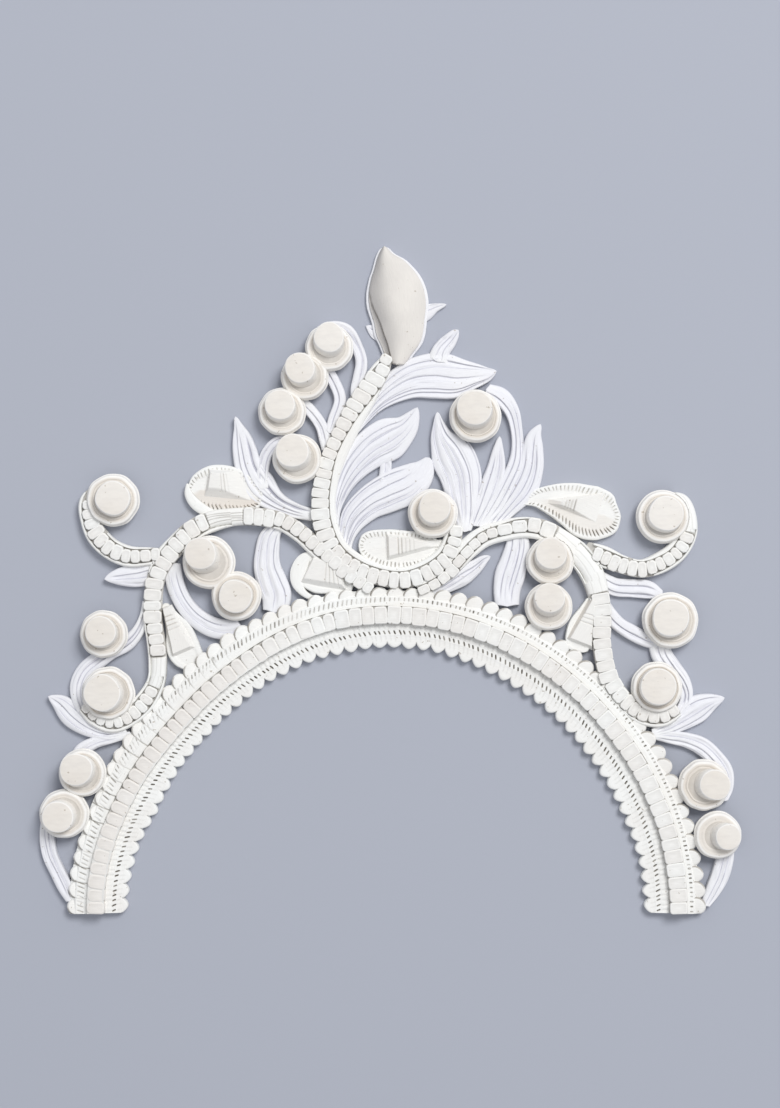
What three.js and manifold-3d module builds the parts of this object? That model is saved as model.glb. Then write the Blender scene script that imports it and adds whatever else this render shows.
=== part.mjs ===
// A shola-pith wedding crown: a flat openwork tiara carved and glued up from dry plant pith.
// It lies on its back. +X runs from the left end of the band to the right end, +Y to the tip
// of the crest and +Z out of the carved face. All sizes are in millimetres.
import * as THREE from "three";
import { mergeVertices } from "three/addons/utils/BufferGeometryUtils.js";
import Module from "manifold-3d";

const wasm = await Module();
wasm.setup();

// ---- Driving dimensions ----------------------------------------------------------------------

const GAP = 0.3; // left between neighbouring pieces
const SHEET = 3; // thickness of the carved leaves and stalks at their ridges
const STEM_TOP = 5.4; // crest of the beaded strips
const SEAT = SHEET + GAP; // height at which the buttons lie
const DISC_TOP = SEAT + 3.6; // face of a button's lower disc
const CAP_TOP = DISC_TOP + 3.9; // face of a button's cap
const BUD_BACKING = 1.5; // thickness of the white leaf behind the bud
const BUD_TOP = 6.2;
const WEDGE_TOP = 6.6; // ridge of the wedge that lies on each shell

// The arch through the rope of beads: a half circle that is pressed in a little on each shoulder
// and runs a little past each end. Its angles are in degrees.
const BAND = { x: -1, y: -107.8, radius: 96, pressedLeft: 4.6, pressedRight: 0.9, shoulder: 84, past: 1.2 };
const BAND_BACKING = 2; // thickness of the sheet under the rope
const BAND_STRIP = 3.6; // the raised strip along the band's inner edge
const BAND_INNER = { reach: -11.1, depth: 1.8, lobes: 58, skew: 0.6 }; // deeper on the right
// The outer scallops widen at both ends of the band, and are pressed in less than the rope.
const BAND_OUTER = { reach: 8.7, depth: 1.9, lobes: 62, splay: 0.9, relief: 0.7 };
const ROPE = { half: 2.8, top: 6.4, beads: 72, stretches: 4, waist: 0.78, crest: 0.6 };
const ROPE_BED = 3.1; // half the width that the rope takes up between the two carved rows

const STATIONS_PER_ROW = 1.5; // lofted stations for each row of a route table
const BUTTON_SIDES = 14;
const BAND_STEPS = 32; // straight facets along a plain edge of the band
const STEPS_PER_LOBE = 3; // and along each lobe of a scalloped one
const CUT_FLOOR = -5; // the space kept clear round a piece reaches below and above it
const CUT_CEILING = 20;

const PITH = { color: 0xece6da, roughness: 0.92, metalness: 0 };
const PAINTED_PITH = { color: 0xf1f1f8, roughness: 0.85, metalness: 0 };

// ---- Routes: each row is [x, y, half width] --------------------------------------------------

const STEMS = {
  stem_centre: [
    [-0.5, 73.5, 1.5], [-3, 69, 3], [-6, 64, 3.5], [-9, 59, 4], [-12, 54, 4], [-15, 48, 4],
    [-18.5, 40.5, 4], [-21, 32.5, 4], [-22, 24.5, 4], [-21, 17, 4], [-17.5, 9.5, 4],
    [-11.5, 4.5, 4], [-4, 1.5, 3.5], [4.5, 0.5, 3.5], [12, 3, 3.5], [18, 7.5, 3.5],
    [20.5, 13, 3], [21.5, 18, 2.5],
  ],
  scroll_left: [
    [-6, -3.5, 2], [-15, 2.5, 2.5], [-24, 10, 3], [-29.5, 15, 3], [-36, 19, 3], [-43, 20.5, 3],
    [-51, 20.5, 3], [-58.5, 19, 3.5], [-65, 16, 3.5], [-70.5, 11, 3.5], [-74, 7, 3.5],
    [-77, 0.5, 3], [-78, -6.5, 3], [-78, -13.5, 3], [-77, -21, 3], [-76.5, -27.5, 3],
    [-77, -33.5, 3], [-80, -39.5, 3.5], [-84.5, -44, 3.5], [-91, -47, 3.5], [-96.5, -45, 3.5],
    [-100.5, -41, 3],
  ],
  scroll_right: [
    [9, -3.5, 2], [15, -0.5, 2.5], [20.5, 4.5, 3], [25.5, 10, 3.5], [31, 14, 3.5],
    [37.5, 16, 3.5], [44, 17, 3.5], [50.5, 16, 3.5], [56, 13, 3.5], [61.5, 8.5, 4],
    [66, 2.5, 4], [68.5, -5, 3.5], [69.5, -12, 3], [69.5, -20, 3], [70.5, -27.5, 3],
    [72.5, -34, 3.2], [77.5, -40.5, 3.2], [83.5, -44.5, 3.5], [89.5, -45, 3.5], [94.5, -42, 3],
  ],
  volute_left: [
    [-73, 7.5, 2.5], [-79, 7.5, 3], [-86, 7.5, 3.5], [-92, 10, 3.5], [-96.5, 14.5, 3.5],
    [-99, 20, 3], [-99.5, 25.5, 3], [-97.5, 30, 2.5],
  ],
  volute_right: [
    [64, 10, 2.5], [70, 7.5, 3.5], [76, 5, 3], [82.5, 3.5, 3], [89, 5.5, 3.5], [94.5, 9.5, 3.5],
    [97.5, 15.5, 3.5], [97.5, 21.5, 3], [96, 26, 2.5], [93, 28.5, 1.5],
  ],
};

// Each shell has the route of its pleated base and that of the wedge on it.
const SHELLS = {
  shell_upper_left: {
    base: [[-42, 27, 3.5], [-48, 28, 6.5], [-54.5, 29.5, 8], [-60.5, 29.5, 7.5], [-65, 29.5, 4.5],
      [-67, 29.5, 1]],
    wedge: [[-61.5, 29.5, 1.5], [-59.5, 31.5, 3], [-56.5, 31.5, 3.5], [-52, 30, 3],
      [-47.5, 28, 1.5]],
  },
  shell_upper_right: {
    base: [[43, 25, 0.5], [48, 26.5, 3], [54, 26, 5.5], [59.5, 24.5, 7.5], [65.5, 22, 9],
      [70.5, 21, 8], [73.5, 20.5, 6], [76, 20.5, 2]],
    wedge: [[51, 25, 0.5], [56, 25, 2], [62, 25, 3.5], [69.5, 24, 4]],
  },
  shell_curl: {
    base: [[16.5, 10, 2.5], [11.5, 10, 5.5], [5, 9.5, 6.5], [-1.5, 10, 6.5], [-7, 11, 5],
      [-10.5, 11, 2.5]],
    wedge: [[-1.5, 10.5, 4.5], [3.5, 11, 4.5], [8, 10.5, 3.5], [14, 9, 1.5]],
  },
  shell_lower_left: {
    base: [[-12.5, -3.5, 2], [-17, -1, 4.5], [-22.5, 1.5, 6.5], [-27.5, 2.5, 5.5],
      [-31, 2.5, 3.5], [-32.5, 2.5, 1]],
    wedge: [[-29.5, 0.5, 1.5], [-25.5, 3.5, 3.5], [-21, 1.5, 4], [-16.5, -1.5, 2.5]],
  },
  shell_side_left: {
    base: [[-74.5, -8, 1], [-72, -12.5, 2.5], [-69.5, -17.5, 4.5], [-68, -23, 5.5],
      [-65.5, -27, 4.5], [-64.5, -29.5, 3]],
    wedge: [[-72.5, -14, 1], [-70, -19.5, 2.5], [-68, -25, 3]],
  },
  shell_side_right: {
    base: [[66, -6, 1], [64.5, -10.5, 2.5], [62.5, -15.5, 4], [62, -20, 4.5], [61, -24, 3.5]],
    wedge: [[64.5, -11.5, 1], [62.5, -16, 2.5], [61.5, -20, 2.5]],
  },
};

// A leaf or a spray is one carved sheet: the routes of its blades and stalks run together.
const LEAVES = {
  leaf_crest: [
    [[-13, 46, 0.5], [-9, 52, 1.5], [-4.5, 58, 3], [1.5, 63, 5], [7.5, 66, 6.5], [14.5, 67, 7.5],
      [21.5, 66.5, 7], [27.5, 67, 4.5], [32, 67.5, 2.5], [35, 68.5, 0.5]],
    [[15.5, 71.5, 3.5], [17, 75.5, 3], [19.5, 78.5, 2.5], [21.5, 81, 1.5], [22.5, 82, 0.5]],
  ],
  leaf_upper: [
    [[-17.5, 17, 0.5], [-17.5, 23.5, 1.5], [-15.5, 30.5, 3], [-11.5, 37.5, 5], [-6, 43, 6.5],
      [0, 46.5, 7], [5, 50, 4.5], [7.5, 53.5, 2.5], [9, 56.5, 0.5]],
  ],
  spray_right: [
    [[24.5, 15.5, 2], [24.5, 22, 4.5], [24, 28.5, 6], [23, 35, 7], [20, 41.5, 7], [17, 47, 4],
      [16, 51, 2], [15.5, 55, 0.5]],
    [[27.5, 17.5, 1.5], [31, 25, 3], [33.5, 31.5, 3.5], [35, 37, 3], [35.5, 42, 2], [36, 47, 0.5]],
    [[29.5, 17, 1], [34.5, 24, 2.5], [38.5, 31.5, 2.5], [41.5, 38.5, 2.5], [42, 44, 2],
      [41.5, 50, 2], [40, 55.5, 2.5], [36.5, 60, 3], [31.5, 62.5, 2]],
    [[32, 15.5, 1.5], [38.5, 23, 3], [44, 30, 4.5], [46.5, 36.5, 4], [47, 42.5, 3.5],
      [47.5, 47, 2.5], [49.5, 51, 0.5]],
  ],
  leaf_lower: [
    [[-14.5, 5.5, 1.5], [-14.5, 13, 2.5], [-12, 20, 4.5], [-7, 25, 5.5], [-0.5, 28.5, 6.5],
      [6, 31.5, 6.5], [10.5, 35.5, 4.5], [13, 40, 1]],
    [[-2, 32.5, 2], [-1.5, 36.5, 2], [-1.5, 40, 2]],
  ],
  spray_left: [
    [[-25, 21, 2], [-31, 22.5, 2.5], [-37.5, 25.5, 3.5], [-43, 30.5, 5.5], [-46.5, 36.5, 4.5],
      [-48, 42.5, 4], [-49, 47, 3], [-50, 50.5, 1.5], [-51, 53.5, 0.5]],
    [[-42, 29.5, 2], [-42, 36, 2], [-40.5, 41.5, 2], [-37, 45, 2], [-33, 46, 1.5]],
  ],
  stalk_crest_1: [
    [[-24, 81.5, 1.5], [-19, 83, 2], [-14.5, 81.5, 2.5], [-11, 76.5, 2], [-9.5, 71.5, 2],
      [-10.5, 66.5, 2], [-12.5, 61.5, 2]],
  ],
  stalk_crest_2: [
    [[-26, 72, 1.5], [-22.5, 70.5, 2], [-18, 64, 2], [-16.5, 59, 2], [-18.5, 52.5, 2],
      [-20, 48, 1.5]],
  ],
  stalk_crest_3: [
    [[-30.5, 58.5, 1.5], [-28.5, 57.5, 2], [-25, 54, 2], [-22.5, 50, 2], [-21.5, 46, 2],
      [-21, 42, 1.5]],
  ],
  leaf_down_left: [
    [[-36.5, 18, 1.5], [-39.5, 14, 3.5], [-40.5, 9, 4], [-40.5, 4, 4.5], [-39, -1, 5],
      [-37.5, -5.5, 5], [-38, -11, 4]],
  ],
  leaf_down_right: [
    [[42, 16, 3], [42, 11, 4], [41, 6.5, 4.5], [39.5, 1.5, 5], [38.5, -3.5, 4.5], [38.5, -9, 4]],
  ],
  leaf_small: [
    [[14, -4.5, 1.5], [19, -2, 2.5], [24, 1.5, 3.5], [28, 4, 2.5], [31, 6.5, 1.5], [33, 7.5, 0.5]],
  ],
  leaf_side_left: [
    [[-76.5, 3, 3.5], [-82, 1.5, 4], [-87, 1, 3.5], [-91.5, 0.5, 2], [-94, 0, 0.5]],
  ],
  sweep_left: [
    [[-71.5, 5.5, 2.5], [-71, -0.5, 3], [-68.5, -7, 3], [-64, -12.5, 3.2], [-58, -16, 3.4],
      [-52.5, -16.5, 3.2], [-49, -15.5, 2.5]],
  ],
  leaf_side_right_1: [
    [[68.5, 0.5, 2.5], [74, -2.5, 3], [79.5, -3, 3], [85, -3.5, 3], [89.5, -5.5, 1.5]],
  ],
  leaf_side_right_2: [
    [[70, -8, 2.2], [72.5, -12, 2.5], [75.5, -15, 2.4], [80, -17.8, 2.6], [85.5, -20.5, 2.2]],
  ],
  link_right: [
    [[88.5, -21, 3.5], [89.5, -25, 3.5], [92.5, -29.5, 3.5], [96, -34, 3], [97.5, -38, 2]],
  ],
  link_left: [
    [[-80, -7, 1.5], [-81, -12, 1.5], [-83, -17, 2], [-86.5, -21, 2.5], [-92, -24, 2.5],
      [-96.5, -27, 3], [-100.5, -30.5, 3], [-102.5, -35, 3], [-103, -39, 2]],
  ],
  leaf_foot_right: [
    [[86, -51, 1.5], [91.5, -49, 2.5], [97, -45.5, 4], [101.5, -42.5, 4.5], [105.5, -40.5, 3],
      [110, -39, 0.5]],
    [[86, -51.5, 1], [91.5, -52, 2], [97.5, -53, 2.5], [102.5, -55, 3], [106.5, -58.5, 3],
      [110, -63.5, 3], [111.5, -68.5, 2]],
  ],
  leaf_foot_left: [
    [[-86.5, -50.5, 1.5], [-93, -51, 2], [-99, -49, 3], [-104.5, -45, 4], [-108.5, -41, 3],
      [-112.5, -38.5, 0.5]],
    [[-85, -51, 1], [-91.5, -52.5, 1.5], [-97.5, -54, 2], [-101.5, -56.5, 2.5],
      [-103, -59.5, 2.5]],
  ],
  stalk_foot_right: [
    [[111, -88, 2.5], [110, -93, 3], [108.5, -98, 3], [106, -103, 2.5], [103.5, -107.5, 1.5]],
  ],
  stalk_foot_left: [
    [[-113, -79, 2], [-113, -85.5, 2.5], [-112, -91, 2.5], [-109.5, -96.5, 2.5],
      [-107, -101.5, 2.5], [-105, -106, 1.5]],
  ],
};

const BUD = [
  [2, 70.5, 2.5], [2.5, 75, 5], [3, 79.5, 7.5], [3, 85, 8.5], [2.5, 90.5, 9.5], [1.5, 96, 9],
  [0, 101.5, 6.5], [-1.5, 106, 3], [-2, 109.5, 0.5],
];
const BUD_RIM = 0.7; // how far the white backing shows round the bud
const BUD_THORNS = [
  [[6, 87, 4], [11.5, 88, 3], [15, 89.5, 1.5], [18.5, 90.5, 0.4]],
  [[0, 80, 3], [-4.5, 81.5, 2.5], [-8, 83.5, 0.4]],
];

// Buttons from front to back, so that each is trimmed where an earlier one overlaps it.
// Columns: name, centre x and y, disc radius, cap radius, and how far the cap's face leans.
const BUTTONS = [
  ["button_crest_4", -30.5, 39.5, 8.3, 5.5, -1.5, 2.5],
  ["button_crest_3", -35.5, 55, 8, 5, -0.5, 2],
  ["button_crest_2", -28, 66.5, 8, 5, -1.5, 2.5],
  ["button_crest_1", -20, 76, 8, 5, 0, 3],
  ["button_spray", 28, 53.5, 8.8, 5.8, -0.5, 2.5],
  ["button_curl", 14, 21.5, 8.3, 5.3, 0.5, 2],
  ["button_volute_left", -91, 26, 8.9, 5.7, 0.5, 0.5],
  ["button_sweep_left_2", -50.5, -5.5, 8.3, 5.5, 0, 0],
  ["button_sweep_left_1", -59.5, 5.5, 8.9, 5.3, -2.5, 3],
  ["button_sweep_right_2", 52, -9, 8, 5, 0, 3],
  ["button_sweep_right_1", 52.5, 6, 8, 5.2, 0, 2.5],
  ["button_volute_right", 89.5, 20.5, 9, 5.8, 0.5, 1],
  ["button_side_right_1", 92, -13.5, 9.4, 6.1, -0.5, 1],
  ["button_side_right_2", 87.5, -35.5, 8.6, 6, 0, 0.5],
  ["button_side_left_1", -94, -18, 8, 5.1, -0.5, 1],
  ["button_side_left_2", -92.5, -37.5, 8.9, 6.1, -1.5, 0.5],
  ["button_foot_left_2", -107, -77, 8.3, 5.2, -1.5, -0.5],
  ["button_foot_left_1", -101, -63.5, 8, 5.4, -1.5, 1.5],
  ["button_foot_right_1", 103, -67.5, 8.6, 5.1, 3, 0.5],
  ["button_foot_right_2", 107.5, -84, 8, 4.3, 2.8, 0],
];

// ---- Cross-sections: [across, height], from the bottom right corner by the bottom left ----------

const LEAF_SECTION = [[-1, 0], [1, 0], [1, 0.7 * SHEET], [0.35, SHEET], [-0.35, 0.9 * SHEET],
  [-1, 0.7 * SHEET]];
const STEM_SECTION = [[-1, 0], [1, 0], [0.95, 0.6 * STEM_TOP], [0, STEM_TOP], [-0.95, 0.6 * STEM_TOP]];
const SHELL_SECTION = [[-1, 0], [1, 0], [1, 0.5 * SHEET], [0.6, 0.9 * SHEET], [-0.6, 0.9 * SHEET],
  [-1, 0.5 * SHEET]];
const WEDGE_SECTION = [[-1, 0], [1, 0], [0.9, 0.6 * WEDGE_TOP], [0.1, WEDGE_TOP],
  [-1, 0.5 * WEDGE_TOP]];
const BUD_FLOOR = BUD_BACKING + GAP;
const BUD_SECTION = [
  [-1, BUD_FLOOR], [1, BUD_FLOOR], [1, BUD_FLOOR + 0.4], [0.55, 0.75 * BUD_TOP],
  [0.1, BUD_TOP], [-0.45, 0.9 * BUD_TOP], [-1, BUD_FLOOR + 0.6],
];

function slab(bottom, top) {
  return [[-1, bottom], [1, bottom], [1, top], [-1, top]];
}

// ---- Solids ------------------------------------------------------------------------------------

// Skins a row of like rings and closes both ends with a fan from each ring's first point.
function loft(rings) {
  const count = rings[0].length;
  const faces = [];
  for (let ring = 0; ring + 1 < rings.length; ring++) {
    for (let k = 0; k < count; k++) {
      const near = ring * count + k;
      const side = ring * count + ((k + 1) % count);
      faces.push(near, side, side + count, near, side + count, near + count);
    }
  }
  const end = (rings.length - 1) * count;
  for (let k = 1; k + 1 < count; k++) {
    faces.push(0, k + 1, k, end, end + k, end + k + 1);
  }
  const geometry = new THREE.BufferGeometry().setFromPoints(rings.flat());
  geometry.setIndex(faces);
  return toSolid(geometry);
}

function toSolid(geometry) {
  geometry.deleteAttribute("normal");
  geometry.deleteAttribute("uv");
  const merged = mergeVertices(geometry);
  const mesh = new wasm.Mesh({
    numProp: 3,
    vertProperties: new Float32Array(merged.attributes.position.array),
    triVerts: new Uint32Array(merged.index.array),
  });
  return new wasm.Manifold(mesh);
}

function toGeometry(solid) {
  const mesh = solid.getMesh();
  const geometry = new THREE.BufferGeometry();
  geometry.setAttribute("position", new THREE.BufferAttribute(mesh.vertProperties, 3));
  geometry.setIndex(new THREE.BufferAttribute(mesh.triVerts, 1));
  geometry.computeVertexNormals();
  return geometry;
}

// Lofts a cross-section along a route. With grow, the sides and the ends stand out by that much.
function ribbon(route, section, grow = 0) {
  const rows = route.map((row) => new THREE.Vector3(...row));
  const spans = Math.round((rows.length - 1) * STATIONS_PER_ROW);
  const stations = new THREE.CatmullRomCurve3(rows).getPoints(spans);
  const last = stations.length - 1;
  const rings = stations.map((station, i) => {
    const before = stations[Math.max(i - 1, 0)];
    const after = stations[Math.min(i + 1, last)];
    const along = new THREE.Vector2(after.x - before.x, after.y - before.y).normalize();
    const past = (i === last ? grow : 0) - (i === 0 ? grow : 0);
    const half = station.z + grow;
    return section.map(([across, height]) => new THREE.Vector3(
      station.x + past * along.x - across * half * along.y,
      station.y + past * along.y + across * half * along.x,
      height,
    ));
  });
  return loft(rings);
}

function join(solids) {
  return solids.reduce((whole, next) => whole.add(next));
}

function roomFor(routes, grow = GAP) {
  return join(routes.map((route) => ribbon(route, slab(CUT_FLOOR, CUT_CEILING), grow)));
}

// How far the arch is pressed in, at an angle counted from its left end.
function pressed(degrees) {
  const fromEnd = Math.min(degrees, 180 - degrees);
  const amount = degrees < 90 ? BAND.pressedLeft : BAND.pressedRight;
  const along = THREE.MathUtils.clamp(fromEnd / BAND.shoulder, 0, 1);
  return amount * Math.sin(Math.PI * along) ** 2;
}

// A point over the arch of the band: 0 degrees is its left end and 180 its right end.
function bandPoint(degrees, offset, height) {
  const turn = THREE.MathUtils.degToRad(degrees);
  const reach = BAND.radius - pressed(degrees) + offset;
  return new THREE.Vector3(BAND.x - reach * Math.cos(turn), BAND.y + reach * Math.sin(turn), height);
}

// How far along its round lobe a scalloped edge stands, from 0 in a notch to 1 at the tip.
function lobe(step) {
  const across = 2 * ((step % STEPS_PER_LOBE) / STEPS_PER_LOBE) - 1;
  return Math.sqrt(1 - across * across);
}

// An edge that follows the arch from its left end to its right end.
function bandEdge(steps, offsetAt) {
  const edge = [];
  for (let step = 0; step <= steps; step++) {
    const degrees = THREE.MathUtils.lerp(-BAND.past, 180 + BAND.past, step / steps);
    edge.push(bandPoint(degrees, offsetAt(degrees, step), 0));
  }
  return edge;
}

function plainEdge(offsetAt) {
  return bandEdge(BAND_STEPS, offsetAt);
}

function innerReach(degrees) {
  return BAND_INNER.reach + BAND_INNER.skew * Math.cos(THREE.MathUtils.degToRad(degrees));
}

function innerEdge() {
  return bandEdge(BAND_INNER.lobes * STEPS_PER_LOBE, (degrees, step) =>
    innerReach(degrees) + BAND_INNER.depth * (1 - lobe(step)));
}

function outerReach(degrees) {
  const splay = BAND_OUTER.splay * Math.cos(THREE.MathUtils.degToRad(degrees)) ** 2;
  return BAND_OUTER.reach + splay + BAND_OUTER.relief * pressed(degrees);
}

function outerEdge() {
  return bandEdge(BAND_OUTER.lobes * STEPS_PER_LOBE, (degrees, step) =>
    outerReach(degrees) - BAND_OUTER.depth * (1 - lobe(step)));
}

// A flat arch between two edges.
function bandSheet(inner, outer, bottom, top) {
  const outline = new THREE.Shape([...inner, ...outer.toReversed()]);
  const sheet = new THREE.ExtrudeGeometry(outline, { depth: top - bottom, bevelEnabled: false });
  return toSolid(sheet.translate(0, 0, bottom));
}

function bandBacking() {
  const rim = plainEdge((degrees) => outerReach(degrees) - BAND_OUTER.depth);
  const sheet = bandSheet(innerEdge(), rim, 0, BAND_BACKING);
  return sheet.add(bandSheet(innerEdge(), plainEdge(() => -ROPE_BED), 0, BAND_STRIP));
}

function bandOuterScallops() {
  const bottom = BAND_BACKING + GAP;
  return bandSheet(plainEdge(() => ROPE_BED), outerEdge(), bottom, bottom + 2);
}

function bandRope(stretch) {
  const bottom = BAND_BACKING + GAP;
  const degrees = (180 + 2 * BAND.past) / ROPE.stretches;
  const start = stretch * degrees - BAND.past;
  const trim = THREE.MathUtils.radToDeg(GAP / 2 / BAND.radius);
  const steps = 2 * (ROPE.beads / ROPE.stretches);
  const rings = [];
  for (let step = 0; step <= steps; step++) {
    const at = THREE.MathUtils.lerp(start + trim, start + degrees - trim, step / steps);
    const swell = step % 2 === 1 ? 1 : ROPE.waist;
    const half = ROPE.half * swell;
    const crest = ROPE.crest * half;
    const top = ROPE.top * swell;
    rings.push([
      bandPoint(at, -half, bottom), bandPoint(at, half, bottom),
      bandPoint(at, crest, top), bandPoint(at, -crest, top),
    ]);
  }
  return loft(rings);
}

function roomForBand() {
  const inner = plainEdge((degrees) => innerReach(degrees) - GAP);
  const outer = plainEdge((degrees) => outerReach(degrees) + GAP);
  return bandSheet(inner, outer, CUT_FLOOR, CUT_CEILING);
}

function turned(profile, x, y) {
  const points = profile.map(([radius, height]) => new THREE.Vector2(radius, height));
  const geometry = new THREE.LatheGeometry(points, BUTTON_SIDES);
  return geometry.rotateX(Math.PI / 2).translate(x, y, 0);
}

// A disc with a smaller cap on it. The cap's foot moves half as far as its leaning face.
function button(x, y, disc, cap, leanX, leanY) {
  const geometry = turned([
    [0, SEAT], [disc, SEAT], [disc, DISC_TOP], [1.08 * cap, DISC_TOP], [cap, CAP_TOP], [0, CAP_TOP],
  ], x, y);
  const places = geometry.attributes.position;
  for (let i = 0; i < places.count; i++) {
    const fromAxis = Math.hypot(places.getX(i) - x, places.getY(i) - y);
    const inCap = places.getZ(i) > DISC_TOP - 0.1 && fromAxis < 1.1 * cap;
    const lean = !inCap ? 0 : places.getZ(i) > CAP_TOP - 0.1 ? 1 : 0.5;
    places.setXY(i, places.getX(i) + lean * leanX, places.getY(i) + lean * leanY);
  }
  return toSolid(geometry);
}

function roomForButton(x, y, disc) {
  const floor = SEAT - 0.25;
  const radius = disc + GAP;
  return toSolid(turned([[0, floor], [radius, floor], [radius, CUT_CEILING], [0, CUT_CEILING]], x, y));
}

// ---- Assembly ----------------------------------------------------------------------------------

const crown = new THREE.Group();
const taken = []; // the room round each piece that is already in place

function largestBody(solid) {
  return solid.decompose().reduce((most, body) => (body.volume() > most.volume() ? body : most));
}

// Adds pieces that share one room. They give way to all that was added before them.
function place(solids, finish, room) {
  for (const [name, solid] of Object.entries(solids)) {
    const trimmed = taken.reduce((rest, earlier) => rest.subtract(earlier), solid);
    const mesh = new THREE.Mesh(toGeometry(largestBody(trimmed)), new THREE.MeshStandardMaterial(finish));
    mesh.name = name;
    crown.add(mesh);
  }
  taken.push(room);
}

function placeButtons() {
  for (const [name, x, y, disc, cap, leanX, leanY] of BUTTONS) {
    place({ [name]: button(x, y, disc, cap, leanX, leanY) }, PITH, roomForButton(x, y, disc));
  }
}

function placeBand() {
  const solids = { band_backing: bandBacking(), band_outer_scallops: bandOuterScallops() };
  for (let stretch = 0; stretch < ROPE.stretches; stretch++) {
    solids[`band_rope_${stretch + 1}`] = bandRope(stretch);
  }
  place(solids, PITH, roomForBand());
}

function placeBud() {
  const sheet = slab(0, BUD_BACKING);
  const thorns = BUD_THORNS.map((route) => ribbon(route, sheet));
  const backing = join([ribbon(BUD, sheet, BUD_RIM), ...thorns]);
  const room = join([roomFor([BUD], BUD_RIM + GAP), roomFor(BUD_THORNS)]);
  place({ bud_backing: backing, bud: ribbon(BUD, BUD_SECTION) }, PITH, room);
}

function placeStems() {
  for (const [name, route] of Object.entries(STEMS)) {
    place({ [name]: ribbon(route, STEM_SECTION) }, PITH, roomFor([route]));
  }
}

function placeShells() {
  for (const [name, { base, wedge }] of Object.entries(SHELLS)) {
    const shell = join([ribbon(base, SHELL_SECTION), ribbon(wedge, WEDGE_SECTION)]);
    place({ [name]: shell }, PITH, roomFor([base, wedge]));
  }
}

function placeLeaves() {
  for (const [name, routes] of Object.entries(LEAVES)) {
    const leaf = join(routes.map((route) => ribbon(route, LEAF_SECTION)));
    place({ [name]: leaf }, PAINTED_PITH, roomFor(routes));
  }
}

// Moves the crown so that its origin lies under the middle of its box.
function centre() {
  const middle = new THREE.Box3().setFromObject(crown).getCenter(new THREE.Vector3());
  crown.position.set(-middle.x, -middle.y, 0);
  crown.updateMatrixWorld();
}

placeButtons();
placeBand();
placeBud();
placeStems();
placeShells();
placeLeaves();
centre();

export default crown;
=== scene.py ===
"""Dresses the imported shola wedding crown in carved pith, on a pale floor under soft light."""

import math
import random

import bmesh
import bpy
import numpy as np
from mathutils import Matrix, Vector


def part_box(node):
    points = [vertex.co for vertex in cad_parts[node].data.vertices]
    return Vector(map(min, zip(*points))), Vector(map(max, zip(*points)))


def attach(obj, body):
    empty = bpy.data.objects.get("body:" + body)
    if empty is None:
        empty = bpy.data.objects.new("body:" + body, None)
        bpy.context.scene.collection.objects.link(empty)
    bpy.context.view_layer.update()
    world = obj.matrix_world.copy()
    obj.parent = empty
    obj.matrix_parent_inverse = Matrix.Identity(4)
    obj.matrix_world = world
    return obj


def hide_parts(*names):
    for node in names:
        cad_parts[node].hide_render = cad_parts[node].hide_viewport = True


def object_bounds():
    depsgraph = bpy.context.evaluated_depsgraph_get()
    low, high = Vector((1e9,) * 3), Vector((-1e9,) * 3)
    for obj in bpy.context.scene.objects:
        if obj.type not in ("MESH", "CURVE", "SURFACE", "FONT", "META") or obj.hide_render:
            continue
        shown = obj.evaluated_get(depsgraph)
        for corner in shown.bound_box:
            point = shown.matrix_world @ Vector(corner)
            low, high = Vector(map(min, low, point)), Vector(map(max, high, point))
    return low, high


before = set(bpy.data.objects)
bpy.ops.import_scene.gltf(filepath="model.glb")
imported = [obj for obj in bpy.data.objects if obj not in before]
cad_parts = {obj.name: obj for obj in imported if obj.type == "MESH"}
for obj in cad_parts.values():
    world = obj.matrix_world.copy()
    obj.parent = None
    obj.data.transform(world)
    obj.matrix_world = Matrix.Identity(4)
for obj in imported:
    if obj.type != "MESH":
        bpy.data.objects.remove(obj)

bl_info = {
    "name": "Shola wedding crown",
    "version": (1, 0, 0),
    "blender": (4, 5, 0),
    "location": "3D View > Sidebar > Crown",
    "description": "Carves the pieces of a shola pith wedding crown over its packed frame",
    "category": "Object",
}

CAD_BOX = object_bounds()
MM = 0.001

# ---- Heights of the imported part, in millimetres ---------------------------------------------


def low(node):
    """The lowest corner of a node's box."""
    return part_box(node)[0] / MM


def high(node):
    """The highest corner of a node's box."""
    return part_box(node)[1] / MM


SEAT = low("button_curl").z  # the buttons lie on this height
CAP_TOP = high("button_curl").z
DISC_TOP = SEAT + 3.6  # face of a button's lower disc
LEAF_TOP = high("leaf_down_left").z
STEM_TOP = high("stem_centre").z
ROPE_BOTTOM, ROPE_TOP = low("band_rope_2").z, high("band_rope_2").z
SCALLOP_BOTTOM, SCALLOP_TOP = low("band_outer_scallops").z, high("band_outer_scallops").z
STRIP_TOP = high("band_backing").z
BUD_FLOOR, BUD_TOP = low("bud").z, high("bud").z
BUD_BACKING_TOP = high("bud_backing").z
WEDGE_TOP = high("shell_curl").z

# ---- Routes of the pieces: x, y and half width, in millimetres -------------------------------

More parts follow.
